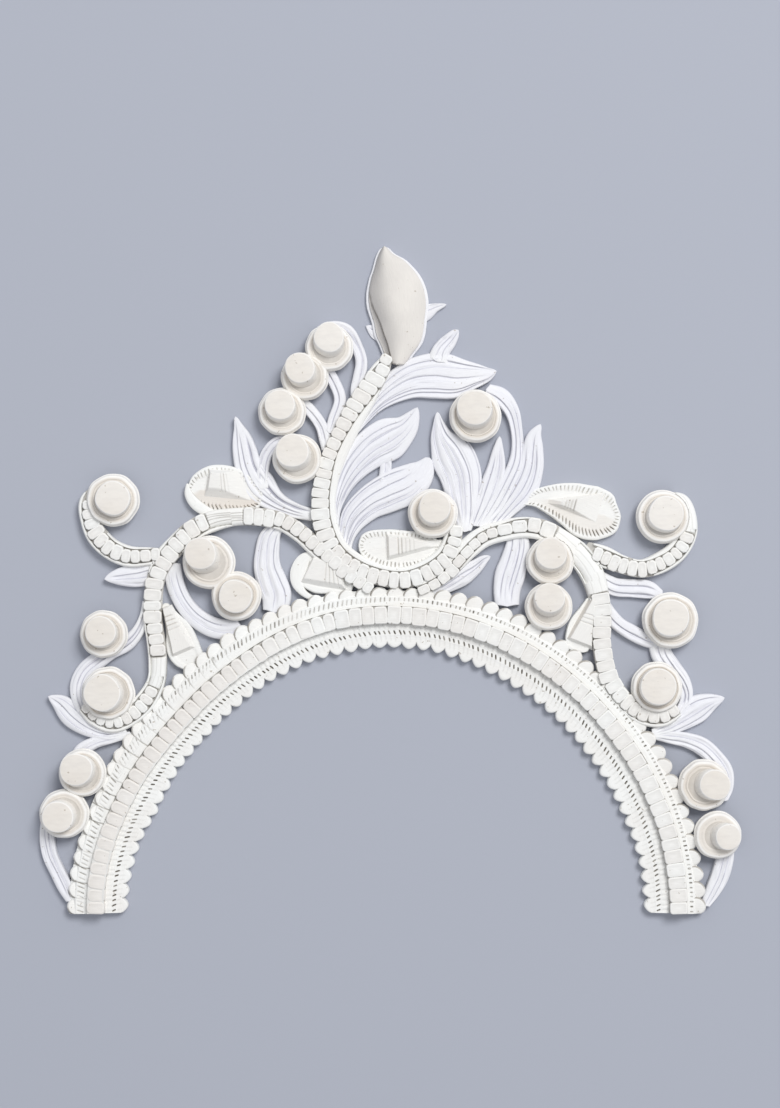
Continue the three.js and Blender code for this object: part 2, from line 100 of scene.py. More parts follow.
STEMS = {
    "stem_centre": [
        (-0.5, 73.5, 1.5), (-3, 69, 3), (-6, 64, 3.5), (-9, 59, 4), (-12, 54, 4), (-15, 48, 4),
        (-18.5, 40.5, 4), (-21, 32.5, 4), (-22, 24.5, 4), (-21, 17, 4), (-17.5, 9.5, 4),
        (-11.5, 4.5, 4), (-4, 1.5, 3.5), (4.5, 0.5, 3.5), (12, 3, 3.5), (18, 7.5, 3.5),
        (20.5, 13, 3), (21.5, 18, 2.5)],
    "scroll_left": [
        (-6, -3.5, 2), (-15, 2.5, 2.5), (-24, 10, 3), (-29.5, 15, 3), (-36, 19, 3),
        (-43, 20.5, 3), (-51, 20.5, 3), (-58.5, 19, 3.5), (-65, 16, 3.5), (-70.5, 11, 3.5),
        (-74, 7, 3.5), (-77, 0.5, 3), (-78, -6.5, 3), (-78, -13.5, 3), (-77, -21, 3),
        (-76.5, -27.5, 3), (-77, -33.5, 3), (-80, -39.5, 3.5), (-84.5, -44, 3.5),
        (-91, -47, 3.5), (-96.5, -45, 3.5), (-100.5, -41, 3)],
    "scroll_right": [
        (9, -3.5, 2), (15, -0.5, 2.5), (20.5, 4.5, 3), (25.5, 10, 3.5), (31, 14, 3.5),
        (37.5, 16, 3.5), (44, 17, 3.5), (50.5, 16, 3.5), (56, 13, 3.5), (61.5, 8.5, 4),
        (66, 2.5, 4), (68.5, -5, 3.5), (69.5, -12, 3), (69.5, -20, 3), (70.5, -27.5, 3),
        (72.5, -34, 3.2), (77.5, -40.5, 3.2), (83.5, -44.5, 3.5), (89.5, -45, 3.5),
        (94.5, -42, 3)],
    "volute_left": [
        (-73, 7.5, 2.5), (-79, 7.5, 3), (-86, 7.5, 3.5), (-92, 10, 3.5), (-96.5, 14.5, 3.5),
        (-99, 20, 3), (-99.5, 25.5, 3), (-97.5, 30, 2.5)],
    "volute_right": [
        (64, 10, 2.5), (70, 7.5, 3.5), (76, 5, 3), (82.5, 3.5, 3), (89, 5.5, 3.5),
        (94.5, 9.5, 3.5), (97.5, 15.5, 3.5), (97.5, 21.5, 3), (96, 26, 2.5), (93, 28.5, 1.5)],
}

# The base of each shell.
SHELLS = {
    "shell_upper_left": [
        (-42, 27, 3.5), (-48, 28, 6.5), (-54.5, 29.5, 8), (-60.5, 29.5, 7.5), (-65, 29.5, 4.5),
        (-67, 29.5, 1)],
    "shell_upper_right": [
        (43, 25, 0.5), (48, 26.5, 3), (54, 26, 5.5), (59.5, 24.5, 7.5), (65.5, 22, 9),
        (70.5, 21, 8), (73.5, 20.5, 6), (76, 20.5, 2)],
    "shell_curl": [
        (16.5, 10, 2.5), (11.5, 10, 5.5), (5, 9.5, 6.5), (-1.5, 10, 6.5), (-7, 11, 5),
        (-10.5, 11, 2.5)],
    "shell_lower_left": [
        (-12.5, -3.5, 2), (-17, -1, 4.5), (-22.5, 1.5, 6.5), (-27.5, 2.5, 5.5),
        (-31, 2.5, 3.5), (-32.5, 2.5, 1)],
    "shell_side_left": [
        (-74.5, -8, 1), (-72, -12.5, 2.5), (-69.5, -17.5, 4.5), (-68, -23, 5.5),
        (-65.5, -27, 4.5), (-64.5, -29.5, 3)],
    "shell_side_right": [
        (66, -6, 1), (64.5, -10.5, 2.5), (62.5, -15.5, 4), (62, -20, 4.5), (61, -24, 3.5)],
}

# Each leaf: its blades and stalks, each with how many strands are carved along it.
LEAVES = {
    "leaf_crest": [
        (6, [(-13, 46, 0.5), (-9, 52, 1.5), (-4.5, 58, 3), (1.5, 63, 5), (7.5, 66, 6.5),
             (14.5, 67, 7.5), (21.5, 66.5, 7), (27.5, 67, 4.5), (32, 67.5, 2.5),
             (35, 68.5, 0.5)]),
        (3, [(15.5, 71.5, 3.5), (17, 75.5, 3), (19.5, 78.5, 2.5), (21.5, 81, 1.5),
             (22.5, 82, 0.5)])],
    "leaf_upper": [
        (6, [(-17.5, 17, 0.5), (-17.5, 23.5, 1.5), (-15.5, 30.5, 3), (-11.5, 37.5, 5),
             (-6, 43, 6.5), (0, 46.5, 7), (5, 50, 4.5), (7.5, 53.5, 2.5), (9, 56.5, 0.5)])],
    "spray_right": [
        (6, [(24.5, 15.5, 2), (24.5, 22, 4.5), (24, 28.5, 6), (23, 35, 7), (20, 41.5, 7),
             (17, 47, 4), (16, 51, 2), (15.5, 55, 0.5)]),
        (3, [(27.5, 17.5, 1.5), (31, 25, 3), (33.5, 31.5, 3.5), (35, 37, 3), (35.5, 42, 2),
             (36, 47, 0.5)]),
        (3, [(29.5, 17, 1), (34.5, 24, 2.5), (38.5, 31.5, 2.5), (41.5, 38.5, 2.5), (42, 44, 2),
             (41.5, 50, 2), (40, 55.5, 2.5), (36.5, 60, 3), (31.5, 62.5, 2)]),
        (4, [(32, 15.5, 1.5), (38.5, 23, 3), (44, 30, 4.5), (46.5, 36.5, 4), (47, 42.5, 3.5),
             (47.5, 47, 2.5), (49.5, 51, 0.5)])],
    "leaf_lower": [
        (6, [(-14.5, 5.5, 1.5), (-14.5, 13, 2.5), (-12, 20, 4.5), (-7, 25, 5.5),
             (-0.5, 28.5, 6.5), (6, 31.5, 6.5), (10.5, 35.5, 4.5), (13, 40, 1)]),
        (2, [(-2, 32.5, 2), (-1.5, 36.5, 2), (-1.5, 40, 2)])],
    "spray_left": [
        (5, [(-25, 21, 2), (-31, 22.5, 2.5), (-37.5, 25.5, 3.5), (-43, 30.5, 5.5),
             (-46.5, 36.5, 4.5), (-48, 42.5, 4), (-49, 47, 3), (-50, 50.5, 1.5),
             (-51, 53.5, 0.5)]),
        (3, [(-42, 29.5, 2), (-42, 36, 2), (-40.5, 41.5, 2), (-37, 45, 2), (-33, 46, 1.5)])],
    "stalk_crest_1": [
        (2, [(-24, 81.5, 1.5), (-19, 83, 2), (-14.5, 81.5, 2.5), (-11, 76.5, 2),
             (-9.5, 71.5, 2), (-10.3, 66.5, 2), (-11.6, 62.5, 1.5), (-12.4, 59, 0.5)])],
    "stalk_crest_2": [
        (2, [(-26, 72, 1.5), (-22.5, 70.5, 2), (-18, 64, 2), (-16.5, 59, 2), (-18.5, 52.5, 2),
             (-20, 48, 1.5)])],
    "stalk_crest_3": [
        (2, [(-30.5, 58.5, 1.5), (-28.5, 57.5, 2), (-25, 54, 2), (-22.5, 50, 2),
             (-21.5, 46, 2), (-21, 42, 1.5)])],
    "leaf_down_left": [
        (4, [(-36.5, 18, 1.5), (-39.5, 14, 3.5), (-40.5, 9, 4), (-40.5, 4, 4.5), (-39, -1, 5),
             (-37.5, -5.5, 5), (-38, -11, 4)])],
    "leaf_down_right": [
        (4, [(42, 16, 3), (42, 11, 4), (41, 6.5, 4.5), (39.5, 1.5, 5), (38.5, -3.5, 4.5),
             (38.5, -9, 4)])],
    "leaf_small": [
        (3, [(14, -4.5, 1.5), (19, -2, 2.5), (24, 1.5, 3.5), (28, 4, 2.5), (31, 6.5, 1.5),
             (33, 7.5, 0.5)])],
    "leaf_side_left": [
        (3, [(-76.5, 3, 3.5), (-82, 1.5, 4), (-87, 1, 3.5), (-91.5, 0.5, 2), (-94, 0, 0.5)])],
    "sweep_left": [
        (3, [(-71.5, 5.5, 2.5), (-71, -0.5, 3), (-68.5, -7, 3), (-64, -12.5, 3.2),
             (-58, -16, 3.4), (-52.5, -16.5, 3.2), (-49, -15.5, 2.5)])],
    "leaf_side_right_1": [
        (3, [(68.5, 0.5, 2.5), (74, -2.5, 3), (79.5, -3, 3), (85, -3.5, 3),
             (89.5, -5.5, 1.5)])],
    "leaf_side_right_2": [
        (2, [(70, -8, 2.2), (72.5, -12, 2.5), (75.5, -15, 2.4), (80, -17.8, 2.6),
             (85.5, -20.5, 2.2), (88.5, -21.2, 1.2)])],
    "link_right": [
        (3, [(88.5, -21, 3.5), (89.5, -25, 3.5), (92.5, -29.5, 3.5), (96, -34, 3),
             (97.5, -38.5, 2.2), (95.5, -43.5, 1.8), (91, -46.5, 0.8)])],
    "link_left": [
        (3, [(-80, -7, 1.5), (-81, -12, 1.5), (-83, -17, 2), (-86.5, -21, 2.5),
             (-92, -24, 2.5), (-96.5, -27, 3), (-100.5, -30.5, 3), (-102.5, -35, 3),
             (-102.3, -40, 2.4), (-99.5, -45, 2), (-94.5, -48, 1)])],
    "leaf_foot_right": [
        (4, [(86, -51, 1.5), (91.5, -49, 2.5), (97, -45.5, 4), (101.5, -42.5, 4.5),
             (105.5, -40.5, 3), (110, -39, 0.5)]),
        (3, [(86, -51.5, 1), (91.5, -52, 2), (97.5, -53, 2.5), (102.5, -55, 3),
             (106.5, -58.5, 3), (110, -63.5, 3), (111, -68.5, 2), (110, -73, 1)])],
    "leaf_foot_left": [
        (4, [(-86.5, -50.5, 1.5), (-93, -51, 2), (-99, -49, 3), (-104.5, -45, 4),
             (-108.5, -41, 3), (-112.5, -38.5, 0.5)]),
        (2, [(-85, -51, 1), (-91.5, -52.5, 1.5), (-97.5, -54, 2), (-101.5, -56.5, 2.5),
             (-103, -59.5, 2.5)])],
    "stalk_foot_right": [
        (3, [(111, -88, 2.5), (110, -93, 3), (108.5, -98, 3), (106, -103, 2.5),
             (103.5, -107.5, 1.5)])],
    "stalk_foot_left": [
        (3, [(-113, -79, 2), (-113, -85.5, 2.5), (-112, -91, 2.5), (-109.5, -96.5, 2.5),
             (-107, -101.5, 2.5), (-105, -106, 1.5)])],
}

# The bud, how far its white leaf shows round it, and the thorns on that leaf.
BUD = [
    (2, 70.5, 2.5), (2.5, 75, 5), (3, 79.5, 7.5), (3, 85, 8.5), (2.5, 90.5, 9.5), (1.5, 96, 9),
    (0, 101.5, 6.5), (-1.5, 106, 3), (-2, 109.5, 0.5)]
BUD_RIM = 0.7
BUD_THORNS = [
    [(6, 87, 4), (11.5, 88, 3), (15, 89.5, 1.5), (18.5, 90.5, 0.4)],
    [(0, 80, 3), (-4.5, 81.5, 2.5), (-8, 83.5, 0.4)]]

# Each button: centre x and y, disc radius, cap radius, and how far the cap's face leans.
BUTTONS = {
    "button_crest_4": (-30.5, 39.5, 8.3, 5.5, -1.5, 2.5),
    "button_crest_3": (-35.5, 55, 8, 5, -0.5, 2),
    "button_crest_2": (-28, 66.5, 8, 5, -1.5, 2.5),
    "button_crest_1": (-20, 76, 8, 5, 0, 3),
    "button_spray": (28, 53.5, 8.8, 5.8, -0.5, 2.5),
    "button_curl": (14, 21.5, 8.3, 5.3, 0.5, 2),
    "button_volute_left": (-91, 26, 8.9, 5.7, 0.5, 0.5),
    "button_sweep_left_2": (-50.5, -5.5, 8.3, 5.5, 0, 0),
    "button_sweep_left_1": (-59.5, 5.5, 8.9, 5.3, -2.5, 3),
    "button_sweep_right_2": (52, -9, 8, 5, 0, 3),
    "button_sweep_right_1": (52.5, 6, 8, 5.2, 0, 2.5),
    "button_volute_right": (89.5, 20.5, 9, 5.8, 0.5, 1),
    "button_side_right_1": (92, -13.5, 9.4, 6.1, -0.5, 1),
    "button_side_right_2": (87.5, -35.5, 8.6, 6, 0, 0.5),
    "button_side_left_1": (-94, -18, 8, 5.1, -0.5, 1),
    "button_side_left_2": (-92.5, -37.5, 8.9, 6.1, -1.5, 0.5),
    "button_foot_left_2": (-107, -77, 8.3, 5.2, -1.5, -0.5),
    "button_foot_left_1": (-101, -63.5, 8, 5.4, -1.5, 1.5),
    "button_foot_right_1": (103, -67.5, 8.6, 5.1, 3, 0.5),
    "button_foot_right_2": (107.5, -84, 8, 4.3, 2.8, 0),
}

# ---- Band: lengths in millimetres, angles in degrees from its left end -----------------------

# The arch is a half circle, pressed in by these amounts on its left and right shoulder, and it
# runs a little past each end.
BAND = {"x": -1, "y": -107.8, "radius": 96, "left": 4.6, "right": 0.9, "shoulder": 84, "past": 1.2}
INNER = {"petals": 58, "notch": 2.2, "slant": 0.24}
OUTER = {"coins": 62, "ticks": 206}
ROPE = {"half": 2.95, "beads": 72, "stretches": 4, "worn_to": 79}

# How far these lines lie outside the arch as it goes round, as rows of (degrees, millimetres).
INNER_TIPS = [
    (0, -10.9), (10, -10.9), (17, -11.3), (22, -11.9), (28, -10.9), (33, -10.2), (45, -10.0),
    (58, -10.2), (66, -10.7), (75, -11.2), (81, -11.4), (92, -10.8), (100, -11.0),
    (106, -11.4), (112, -11.9), (125, -12.2), (135, -12.3), (145, -12.7), (155, -12.6),
    (163, -12.4), (168, -11.9), (180, -11.6)]
INNER_TICKS = [
    (0, -6.2), (15, -6.2), (24, -5.9), (32, -5.4), (52, -5.3), (60, -6.2), (68, -6.6),
    (80, -6.4), (88, -5.8), (95, -5.5), (105, -5.7), (115, -6.2), (130, -6.5), (150, -6.8),
    (180, -6.8)]
ROPE_MIDDLE = [
    (0, -0.3), (18, -0.3), (30, 0.1), (50, 0.1), (60, -0.3), (75, -0.3), (87, 0.15),
    (105, 0.0), (120, -0.15), (140, -0.45), (180, -0.45)]
OUTER_TICKS_FROM = [
    (0, 3.4), (15, 3.4), (22, 4.3), (28, 5.3), (45, 5.6), (55, 5.5), (62, 4.6), (72, 3.7),
    (86, 3.7), (92, 4.5), (140, 4.5), (152, 4.0), (165, 3.5), (180, 3.4)]
OUTER_TICKS_TO = [
    (0, 6.3), (15, 6.3), (22, 7.0), (28, 7.9), (45, 8.2), (55, 7.8), (62, 6.8), (72, 6.2),
    (86, 6.1), (92, 5.9), (115, 5.8), (140, 5.5), (152, 5.2), (165, 4.8), (180, 4.6)]
COIN_TIPS = [
    (0, 9.0), (12, 8.6), (20, 8.5), (25, 9.6), (29, 10.5), (40, 10.9), (50, 11.5),
    (57, 11.3), (62, 10.6), (67, 10.0), (75, 9.7), (81, 9.2), (90, 8.9), (97, 9.3),
    (104, 10.1), (115, 10.0), (125, 9.7), (135, 9.0), (145, 9.1), (151, 9.5), (157, 8.6),
    (170, 8.4), (180, 8.6)]

# How much painted shade darkens the outer ticks and the inner side of the rope's beads.
OUTER_TICK_SHADE = [(0, 0.5), (24, 0.6), (40, 0.8), (60, 0.9), (75, 0.65), (88, 0.55), (100, 0.85)]
ROPE_INNER_SHADE = [(14, 0.1), (24, 0.35), (78, 0.35), (79, 1.0)]

# The routes are drawn from a point a little off the part's origin.
curl_low, curl_high = low("button_curl"), high("button_curl")
SHIFT = (curl_low + curl_high).xy / 2 - Vector(BUTTONS["button_curl"][:2])


# ---- Settings that a user would change -------------------------------------------------------


class CrownCarving(bpy.types.PropertyGroup):
    """How the pieces are cut"""

    strand_depth: bpy.props.FloatProperty(
        name="Strand depth", description="How deep the grooves along the leaves are cut",
        default=0.7 * MM, min=0, max=1.5 * MM, unit="LENGTH")
    edge_drop: bpy.props.FloatProperty(
        name="Edge drop", description="How far the leaves fall off towards their edges",
        default=0.9 * MM, min=0, max=2 * MM, unit="LENGTH")
    bead_bevel: bpy.props.FloatProperty(
        name="Bead bevel", description="How much the edges of the beads are rounded",
        default=0.4 * MM, min=0.1 * MM, max=1 * MM, unit="LENGTH")
    coin_tilt: bpy.props.FloatProperty(
        name="Scallop tilt", description="How far each outer scallop leans on the next",
        default=math.radians(9), min=0, max=math.radians(20), subtype="ANGLE")
    tick_depth: bpy.props.FloatProperty(
        name="Tick depth", description="How deep the rows of ticks on the band are cut",
        default=0.9 * MM, min=0, max=1.4 * MM, unit="LENGTH")
    pleat_depth: bpy.props.FloatProperty(
        name="Pleat depth", description="How deep the pleats on the shells are pressed",
        default=0.7 * MM, min=0, max=1 * MM, unit="LENGTH")


class CrownFinish(bpy.types.PropertyGroup):
    """The colours of the pith and its grain"""

    white: bpy.props.FloatVectorProperty(
        name="White pith", description="Colour of the whitened leaves", size=3,
        subtype="COLOR", default=(0.86, 0.86, 0.89), min=0, max=1)
    pale: bpy.props.FloatVectorProperty(
        name="Pale pith", description="Colour of the beads, the band and the wedges", size=3,
        subtype="COLOR", default=(0.93, 0.93, 0.90), min=0, max=1)
    pale_shade: bpy.props.FloatVectorProperty(
        name="Aged pale pith", description="Darker parts of the beads and the band", size=3,
        subtype="COLOR", default=(0.86, 0.825, 0.775), min=0, max=1)
    cream: bpy.props.FloatVectorProperty(
        name="Cream pith", description="Colour of the bud", size=3,
        subtype="COLOR", default=(0.85, 0.81, 0.75), min=0, max=1)
    # The second colour of the buttons: their tone, and on the disc's body partly painted shade
    # round the cap.
    cream_shade: bpy.props.FloatVectorProperty(
        name="Aged cream pith", description="Darker parts of the buttons", size=3,
        subtype="COLOR", default=(0.76, 0.70, 0.62), min=0, max=1)
    # Painted highlight: the pale edge of each cap's face and the pale outer rim of each disc, the
    # disc's rim partly the pith's own white edge.
    rim: bpy.props.FloatVectorProperty(
        name="Button rims", description="Colour of the fresh edges of the buttons", size=3,
        subtype="COLOR", default=(0.93, 0.91, 0.87), min=0, max=1)
    # Painted shade: the grey of the bud's slope past its crease and of its upper left side.
    grey_shade: bpy.props.FloatVectorProperty(
        name="Grey pith", description="The slope of the bud past its crease", size=3,
        subtype="COLOR", default=(0.50, 0.48, 0.46), min=0, max=1)
    # Mixed into the sloping sides of the wedges as painted shade, and into the lower side of the
    # pleated shells.
    tan: bpy.props.FloatVectorProperty(
        name="Tan pith", description="The sides and hollows of the shells", size=3,
        subtype="COLOR", default=(0.74, 0.67, 0.59), min=0, max=1)
    # Painted shade: the dark colour mixed in where shade falls, in grooves and crevices, low on the
    # sides of beads and in the gaps between parts.
    crevice_shade: bpy.props.FloatVectorProperty(
        name="Crevices", description="Colour of the dust and glue in the grooves", size=3,
        subtype="COLOR", default=(0.20, 0.17, 0.13), min=0, max=1)
    # Painted shade: the cool grey mixed into the grooves and along the edges of the whitened
    # leaves.
    leaf_groove_shade: bpy.props.FloatVectorProperty(
        name="Leaf grooves", description="Colour of the grooves of the whitened leaves",
        size=3, subtype="COLOR", default=(0.36, 0.36, 0.45), min=0, max=1)
    grain: bpy.props.FloatProperty(
        name="Grain", description="Strength of the fine grain in relief", default=0.55,
        min=0, max=1, subtype="FACTOR")


class CrownStage(bpy.types.PropertyGroup):
    """The floor and the light"""

    floor: bpy.props.FloatVectorProperty(
        name="Floor", description="Colour of the floor", size=3, subtype="COLOR",
        default=(0.42, 0.44, 0.50), min=0, max=1)
    key: bpy.props.FloatProperty(
        name="Key light", description="Power of the large soft light", default=30.0, min=0,
        unit="POWER")
    sky: bpy.props.FloatProperty(
        name="Light all round", description="Strength of the even light of the studio",
        default=0.56, min=0, max=3)


# ---- Lines and surfaces ----------------------------------------------------------------------

TIP = 0.08  # half width left at the very end of a tapered line, in millimetres
MERGE = 0.002  # points that lie closer than this become one
TINY = 1e-4


def distances(points):
    """How far along their path these points lie."""
    return np.concatenate([[0], np.cumsum(np.hypot(*np.diff(points, axis=0).T))])


def points_at(places, along, points):
    """The points of a path at these distances along it."""
    return np.stack([np.interp(places, along, values) for values in points.T], axis=-1)


class Line:
    """A smooth line through rows of x, y and half width, with points every step."""

    def __init__(self, rows, step):
        rows = np.array(rows, float)
        ends = np.vstack([2 * rows[0] - rows[1], rows, 2 * rows[-1] - rows[-2]])
        spans = [centripetal(ends[i:i + 4]) for i in range(len(rows) - 1)]
        fine = np.vstack(spans + [rows[-1:]])
        along = distances(fine[:, :2])
        self.length = along[-1]
        self.along = np.linspace(0, self.length, max(round(self.length / step), 4) + 1)
        self.x, self.y, self.half = points_at(self.along, along, fine).T
        self.x = self.x + SHIFT.x
        self.y = self.y + SHIFT.y
        tx, ty = np.gradient(self.x), np.gradient(self.y)
        size = np.hypot(tx, ty)
        self.tx, self.ty = tx / size, ty / size

    def taper(self, start, end):
        """Rounds the ends off over these lengths."""
        for reach, near in ((start, self.along), (end, self.length - self.along)):
            share = np.clip(near / reach, 0, 1)
            self.half = self.half * np.sqrt(1 - (1 - share) ** 2) + TIP * (1 - share)

    def at(self, along):
        """The point that far along the line, the way the line goes there, and its half width."""
        x, y, half, tx, ty = (
            np.interp(along, self.along, values)
            for values in (self.x, self.y, self.half, self.tx, self.ty))
        size = math.hypot(tx, ty)
        return Vector((x, y)), Vector((tx / size, ty / size)), half

    def spread(self, across):
        """A grid over the line: x, y, how far along the line and how far to its left. It has a
        row for each point of the line and a column for each share across."""
        x = self.x[:, None] - across * (self.half * self.ty)[:, None]
        y = self.y[:, None] + across * (self.half * self.tx)[:, None]
        return x, y, self.along[:, None], across * self.half[:, None]


def centripetal(four, count=12):
    """Points from the second to the third of four rows."""
    knots = np.concatenate([[0], np.cumsum(np.linalg.norm(np.diff(four, axis=0), axis=1) ** 0.5)])
    t = np.linspace(knots[1], knots[2], count, endpoint=False)[:, None]

    def weigh(i, j, a, b):
        return ((knots[j] - t) * a + (t - knots[i]) * b) / (knots[j] - knots[i])

    a1, a2, a3 = (weigh(i, i + 1, four[i], four[i + 1]) for i in range(3))
    return weigh(1, 2, weigh(0, 2, a1, a2), weigh(1, 3, a2, a3))


def shares(middle, count, *edge):
    """Shares across a line: evenly spaced out to middle, then these on either side."""
    edge = np.array(edge)
    return np.concatenate([-edge[::-1], np.linspace(-middle, middle, count), edge])


def between(first, last, share):
    return first + share * (last - first)


def smooth(low_end, high_end, value):
    """0 at the low end, 1 at the high end and an even curve from one to the other."""
    share = np.clip((value - low_end) / (high_end - low_end), 0, 1)
    return share * share * (3 - 2 * share)


def bump(apart, width):
    """1 where apart is 0, falling to 0 where it is as large as width."""
    return 1 - smooth(0, width, np.abs(apart))


def draws(rng, count, lowest, highest):
    return np.array([rng.uniform(lowest, highest) for _ in range(count)])


def new_shape():
    """An empty bmesh whose points say how much painted shade they take in grooves and crevices,
    how much they show their piece's second colour, and where they are on the grain."""
    bm = bmesh.new()
    bm.verts.layers.float.new("groove")
    bm.verts.layers.float.new("shade")
    bm.verts.layers.float_vector.new("grain")
    return bm


def layers_of(bm):
    layers = bm.verts.layers
    return layers.float["groove"], layers.float["shade"], layers.float_vector["grain"]


def edges_of(verts):
    return list(dict.fromkeys(edge for vert in verts for edge in vert.link_edges))


def faces_of(verts):
    return list(dict.fromkeys(face for vert in verts for face in vert.link_faces))


def above(parts, height):
    """Those edges or faces that lie wholly above that height."""
    return [part for part in parts if all(vert.co.z > height for vert in part.verts)]


def bevel(bm, made, edges, offset, segments):
    """Bevels edges of a shape of these points, and gives the points that it has afterwards."""
    made = made + bmesh.ops.bevel(
        bm, geom=edges, offset=offset, segments=segments, profile=0.5, affect="EDGES",
        material=-1)["verts"]
    return [vert for vert in dict.fromkeys(made) if vert.is_valid]


def bent_grid(bm, grid, z, groove, shade):
    """A grid of points with these heights. Each point of grid has its x, its y and its place
    on the grain, along and across it."""
    groove_layer, shade_layer, grain_layer = layers_of(bm)
    x, y, along, across = grid
    rows, columns = x.shape
    made = bmesh.ops.create_grid(bm, x_segments=columns - 1, y_segments=rows - 1, size=1)["verts"]
    values = np.stack(
        [np.broadcast_to(v, x.shape) for v in (x, y, z, groove, shade, along, across)], axis=-1)
    for vert, row in zip(made, values.reshape(-1, 7).tolist()):
        vert.co = row[:3]
        vert[groove_layer], vert[shade_layer] = row[3:5]
        vert[grain_layer] = (*row[5:], 0)
    return made


def drop_back(bm, faces, floor):
    """Gives an open sheet its walls and a clean back at floor, and returns the back."""
    groove_layer = layers_of(bm)[0]
    back = bmesh.ops.extrude_face_region(bm, geom=faces)["geom"]
    for vert in back:
        if isinstance(vert, bmesh.types.BMVert):
            vert.co.z = floor
            vert[groove_layer] = 0
    return back


def thick_sheet(bm, grid, z, groove=0, shade=0, floor=0):
    """A bent grid with walls and a flat back. The back is one long row of faces."""
    made = bent_grid(bm, grid, z, groove, shade)
    columns = grid[0].shape[1]
    for vert, onward in zip(made, made[columns:]):
        next(edge for edge in vert.link_edges if edge.other_vert(vert) is onward).seam = True
    back = drop_back(bm, faces_of(made), floor)
    flat = {face for face in back if isinstance(face, bmesh.types.BMFace)}
    lengthwise = [edge for edge in back if isinstance(edge, bmesh.types.BMEdge) and edge.seam
                  and flat.issuperset(edge.link_faces)]
    bmesh.ops.dissolve_edges(bm, edges=lengthwise, use_verts=True)


def finish_piece(bm, node, material, sharp=50):
    """Turns the shape into the piece that stands for a CAD node. Edges that turn by more than
    sharp degrees stay sharp."""
    bmesh.ops.remove_doubles(bm, verts=bm.verts, dist=MERGE)
    bmesh.ops.recalc_face_normals(bm, faces=bm.faces)
    bmesh.ops.transform(bm, matrix=Matrix.Scale(MM, 4), verts=bm.verts)
    for vert in bm.verts:
        vert.co = [min(max(value, least), most) for value, least, most in zip(vert.co, *CAD_BOX)]
    mesh = bpy.data.meshes.new(node + "_carved")
    bm.to_mesh(mesh)
    bm.free()
    mesh.shade_smooth()
    mesh.set_sharp_from_angle(angle=math.radians(sharp))
    mesh.materials.append(material)
    piece = bpy.data.objects.new(node + "_carved", mesh)
    bpy.context.scene.collection.objects.link(piece)
    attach(piece, "root")
    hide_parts(node)


def under_buttons(x, y, z):
    """Presses heights down where a button's disc lies over them."""
    rim, gap = 0.4, 0.1
    for bx, by, disc, *_ in BUTTONS.values():
        inside = np.hypot(x - bx - SHIFT.x, y - by - SHIFT.y) < disc - rim
        z = np.where(inside, np.minimum(z, SEAT - gap), z)
    return z


# ---- Leaves ----------------------------------------------------------------------------------

SHORT_LINK = 9  # a link no longer than this, in millimetres, is sunk under the leaves it joins
SUNK = 0.7
STEEP, GENTLE = 0.28, 1.5  # how wide the steep and the gentle side of a groove are


def carve_blade(bm, rows, count, carving, rng, top=LEAF_TOP):
    """One blade: broad flat strands with thin grooves between them that run out at the edges."""
    line = Line(rows, step=0.55)
    pointed = rows[-1][2] < 1
    line.taper(start=0.3, end=1.2 if pointed else 0.35)
    column = 0.17  # width of a column of points
    across = np.linspace(-1, 1, int(2 * line.half.max() / column) + 8)
    grid = x, y, along, _ = line.spread(across)
    share, half = along / line.length, line.half[:, None]
    if line.length < SHORT_LINK:
        top = top - SUNK
    deep = carving.strand_depth / MM
    fall = carving.edge_drop / MM * np.abs(across) ** 4
    z = top - 0.05 - fall * np.clip(half / 3, 0.3, 1)
    groove = np.zeros(x.shape)
    bow = 0.25 * np.sin(np.pi * share)
    # The main grooves part the strands from foot to tip; three times as many run a short way.
    for k in range(4 * count - 2):
        main = k < count - 1
        if main:
            foot = 2 * (k + 1) / count - 1 + rng.uniform(-0.14, 0.14)
        else:
            foot = rng.uniform(-0.9, 0.9)
        tip = foot * rng.uniform(0.75, 1.35) + rng.uniform(-0.15, 0.15)
        first = rng.uniform(0, 0.15 if main else 0.6)
        last = rng.uniform(0.8, 1.05) if main else first + rng.uniform(0.15, 0.4)
        middle = between(foot, tip, share) + bow * rng.uniform(-0.6, 0.6)
        apart = (across - middle) * half
        here = smooth(first - 0.04, first + 0.06, share) * (1 - smooth(last - 0.15, last, share))
        strength = rng.uniform(0.7, 1.0) if main else rng.uniform(0.2, 0.45)
        side = 1 if rng.random() < 0.5 else -1
        slope = np.where(apart * side > 0, bump(apart, GENTLE), bump(apart, STEEP))
        z = z - deep * strength * here * slope * np.clip(half / 2, 0.35, 1)
        # The grooves are painted dark as shade.
        groove = np.maximum(groove, strength * here * bump(apart, 0.3 if main else 0.2))
    edge = half * (1 - np.abs(across))
    # Painted shade: the grooves fade out towards the edges, and a dark line runs along the edges
    # themselves.
    groove = np.maximum(groove * smooth(0, 0.3, edge), 0.3 * (1 - smooth(0.05, 0.35, edge)))
    z = np.clip(z - 0.3 * smooth(0.95, 1, np.abs(across)), 0.4, top - 0.01)
    thick_sheet(bm, grid, under_buttons(x, y, z), groove, 0.35 * smooth(0.35, 0.0, share))


class OBJECT_OT_crown_leaves(bpy.types.Operator):
    """Carve the leaves, sprays, stalks and links, with strands along each blade"""

    bl_idname = "object.crown_leaves"
    bl_label = "Leaves and sprays"

    def execute(self, context):
        for seed, (node, blades) in enumerate(LEAVES.items()):
            rng = random.Random(100 + seed)
            bm = new_shape()
            for count, rows in blades:
                carve_blade(bm, rows, count, context.scene.crown_carving, rng)
            finish_piece(bm, node, pith_material("white pith"))
        return {"FINISHED"}


# ---- Beaded stems ----------------------------------------------------------------------------

STEM_BASE = 0.6 * STEM_TOP  # what shows between the beads
BEAD_TOP = STEM_TOP - 0.15  # and how high the beads stand

